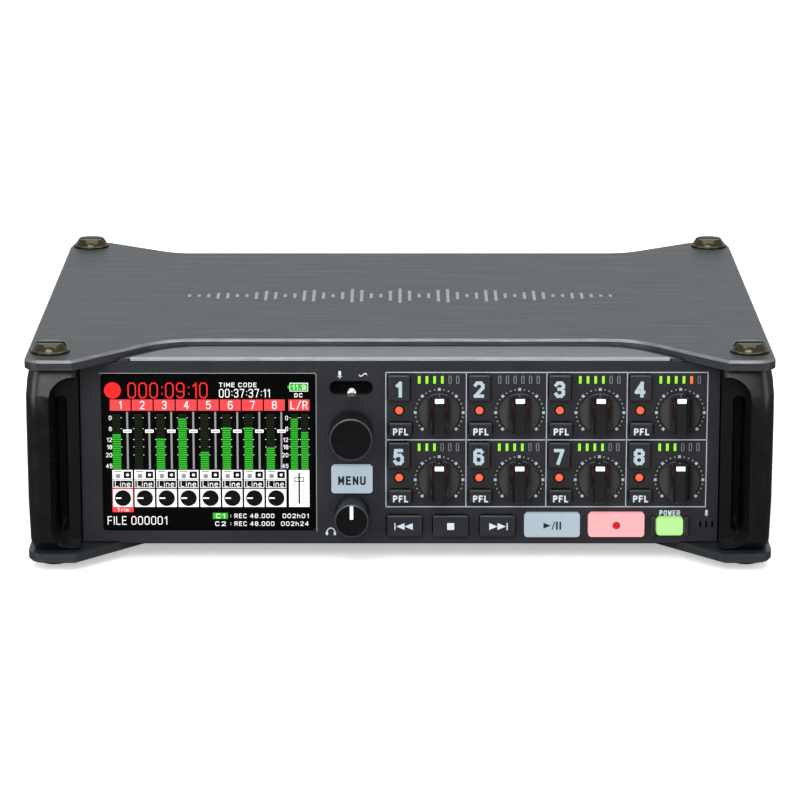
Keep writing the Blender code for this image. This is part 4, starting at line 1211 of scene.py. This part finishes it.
# ---- back
def build_back():
    """Two coax sockets with bayonet lugs, the four-pin power inlet and the data port."""
    barrel = [(6.2, 58.02), (6.2, 59.4), (5.9, 59.8), (4.95, 59.8), (4.95, 68.0)]
    barrel += [(4.7, 68.3), (4.0, 68.3), (3.85, 68.0), (3.85, 64.3)]
    core = [(2.1, 64.15), (2.1, 66.4), (1.9, 66.6), (0.8, 66.6), (0.7, 64.3)]
    bodies, pins = [], []
    for x, z in ((12.0, 36.0), (28.0, 36.0)):
        bodies.append(turned(barrel, facing_front, 48, x, z, closed=True))
        for sx in (-1, 1):
            lug = [(0.8, sx * 4.8), (0.8, sx * 5.9), (0.6, sx * 6.0), (0.1, sx * 6.0)]
            bodies.append(moved(turned(lug, facing_side, 20, 65.6, z), dx=x))
        pins.append(turned(core, facing_front, 32, x, z))
    piece("coax_barrels", together(bodies), STEEL)
    piece("coax_insulators", together(pins), MARK)
    x, z = 46.0, 35.0
    ring = [(7.6, 58.02), (7.6, 59.6), (7.3, 60.0), (6.1, 60.0), (6.05, 60.9)]
    ring += [(5.8, 61.1), (4.85, 61.1), (4.65, 60.8), (4.6, 57.5)]
    piece("power_inlet_ring", turned(ring, facing_front, 64, x, z, closed=True), SATIN)
    pins = []
    for dx, dz in around(2.3, 45, 135, 225, 315):
        pins.append(turned([(0.55, 57.3), (0.55, 60.0), (0.3, 60.3)], facing_front, 16, x + dx, z + dz))
    piece("power_inlet_pins", together(pins), GOLD)
    x, z = 47.0, 22.5
    outer, inner = rounded(9.3, 3.6, 1.6, 6, x, z), rounded(8.3, 2.6, 1.15, 6, x, z)
    rings = [(outer, 57.9), (outer, 59.0), (inner, 59.0), (inner, 55.8)]
    piece("data_port_shell", hoop(rings), STEEL)
    piece("data_port_tongue", block(x - 3.2, x + 3.2, 55.65, 58.6, z - 0.35, z + 0.35), JACK, bevel=0.12)
    build_back_print()
    build_back_covers()


def build_back_print():
    plane = 58.0
    shapes = [
        on_back(words("IN", 1.7, 0.7, 0.17), 12.0, 43.6, plane),
        on_back(words("OUT", 1.7, 0.7, 0.17), 28.0, 43.6, plane),
        on_back(words("DC IN", 1.7, 0.7, 0.17), 46.0, 43.9, plane),
        on_back(microphone_icon(0.6), 37.0, 19.5, plane),
    ]
    piece("back_legends", together(shapes), LEGEND)
    head = [(1.9, plane - 0.05), (1.9, plane + 0.3), (1.5, plane + 0.6), (0.1, plane + 0.65)]
    screws = [turned(head, facing_front, 28, x, z) for x in (-72.0, 66.0) for z in (10.0, 44.0)]
    piece("back_screws", together(screws), BOLT)


def build_back_covers():
    """Ridges on the battery door and the card door, and a pad on the microphone port's cap."""
    x, back = centre("battery_tray")[0], cad("battery_tray")[1][1]
    ridges = []
    for i in range(9):
        outline = rounded(36.0, 0.9, 0.44, 4, x, 12.0 + i * 2.2)
        ridges.append(prism(outline, back - 0.05, back + 0.3))
    piece("battery_door_ridges", together(ridges), GUARD, "battery_drawer", bevel=0.12)
    low, high = cad("card_door")
    ridges = []
    for i in range(5):
        x = centre("card_door")[0] - 4 + 2 * i
        outline = rounded(0.8, 8.0, 0.39, 4, x, low[2] + 10.5)
        ridges.append(prism(outline, high[1] - 0.05, high[1] + 0.25))
    piece("card_door_ridges", together(ridges), GUARD, "card_door", bevel=0.1)
    x, _, z = centre("mic_port_cap")
    back = cad("mic_port_cap")[1][1]
    pad = prism(rounded(14.0, 6.0, 1.0, 5, x, z), back - 0.05, back + 0.35)
    piece("mic_port_cap_pad", pad, RUBBER, "mic_port_cap", bevel=0.15)


# ---- CAD pieces that stay
def paint_chamfer_highlights(*nodes):
    """The cut edge between a plate's face and its side gets a lighter metal: a painted highlight for the
    light it catches.
    """
    for node in nodes:
        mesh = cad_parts[node].data
        mesh.materials.append(CHAMFER_HIGHLIGHT)
        for face in mesh.polygons:
            if 0.3 < abs(face.normal.z) < 0.95:
                face.material_index = 1


def paint_cad():
    paint(PLATE, "top_plate", "bottom_plate")
    paint_chamfer_highlights("top_plate", "bottom_plate")
    paint(PANEL, "front_panel")
    paint(SHEET, "chassis")
    paint(JACK, "left_jack_bank", "right_jack_bank", "rear_connector_bank")
    paint(GUARD, "battery_tray", "card_door")
    paint(RUBBER, "mic_port_cap")
    paint(WRAP, "battery_cells")
    paint(BOARD, "main_board", "control_board")
    paint(SATIN, "display_module", "dial_shaft")
    paint(KNOB_SIDE, "dial_plunger")


# ---- stage
def floor_finish():
    """A pale floor that reflections see darker, as if a black card lay in front of the object."""
    finish = Finish("pale_floor", (0.9, 0.9, 0.9), 0.9, specular=0.0)
    card = finish.nodes.new("ShaderNodeBsdfDiffuse")
    card.inputs["Color"].default_value = (0.1, 0.1, 0.1, 1.0)
    path = finish.nodes.new("ShaderNodeLightPath")
    mix = finish.nodes.new("ShaderNodeMixShader")
    output = finish.nodes["Material Output"]
    finish.links.new(path.outputs["Is Glossy Ray"], mix.inputs["Fac"])
    finish.links.new(finish.shader.outputs["BSDF"], mix.inputs[1])
    finish.links.new(card.outputs["BSDF"], mix.inputs[2])
    finish.links.new(mix.outputs["Shader"], output.inputs["Surface"])
    finish.shader.inputs["Emission Color"].default_value = (1.0, 1.0, 1.0, 1.0)
    lift = finish.nodes.new("ShaderNodeMath")
    lift.operation = "MULTIPLY"
    lift.inputs[1].default_value = 0.45
    finish.links.new(path.outputs["Is Camera Ray"], lift.inputs[0])
    finish.links.new(lift.outputs[0], finish.shader.inputs["Emission Strength"])
    return finish.material


def build_stage():
    bpy.ops.mesh.primitive_plane_add(size=30.0)
    floor = bpy.context.object
    floor.name = "floor"
    floor.data.materials.append(floor_finish())
    world = bpy.data.worlds.new("studio")
    world.use_nodes = True
    background = world.node_tree.nodes["Background"]
    background.inputs["Color"].default_value = (1.0, 1.0, 1.0, 1.0)
    background.inputs["Strength"].default_value = 0.6
    bpy.context.scene.world = world
    for name, place, aim, size, power in (
        ("top_softbox", (0.0, 0.1, 1.1), (0, 0, 0), 1.4, 10.0),
        ("front_softbox", (-0.2, -1.2, 0.85), (0, 0, 0.02), 0.9, 12.0),
        ("left_softbox", (-1.1, -0.7, 0.35), (0, 0, 0.02), 0.6, 6.0),
        ("right_softbox", (1.1, -0.7, 0.35), (0, 0, 0.02), 0.6, 4.0),
    ):
        light = bpy.data.lights.new(name, "AREA")
        light.size = size
        light.energy = power
        holder = bpy.data.objects.new(name, light)
        show(holder)
        holder.location = place
        away = holder.location - mathutils.Vector(aim)
        holder.rotation_euler = away.to_track_quat("Z", "Y").to_euler()


def build_camera():
    camera = bpy.data.cameras.new("camera")
    camera.lens = 170.34
    camera.sensor_width = 36.0
    camera.clip_end = 50.0
    holder = bpy.data.objects.new("camera", camera)
    show(holder)
    holder.location = (0.0, -0.9388, 0.2584)
    looks_down = 13.95
    holder.rotation_euler = (math.radians(90 - looks_down), 0.0, 0.0)
    bpy.context.scene.camera = holder
    bpy.context.scene.view_settings.view_transform = "Standard"


paint_cad()
build_bolts()
build_guards()
build_gaskets()
build_plate_marks()
build_underside()
build_top_band()
build_grid()
build_scales()
build_lamps()
build_keys()
build_gain_knobs()
build_round_knobs()
build_toggle()
build_legends()
build_power_ribs()
build_display()
build_sides()
build_back()
build_stage()
build_camera()
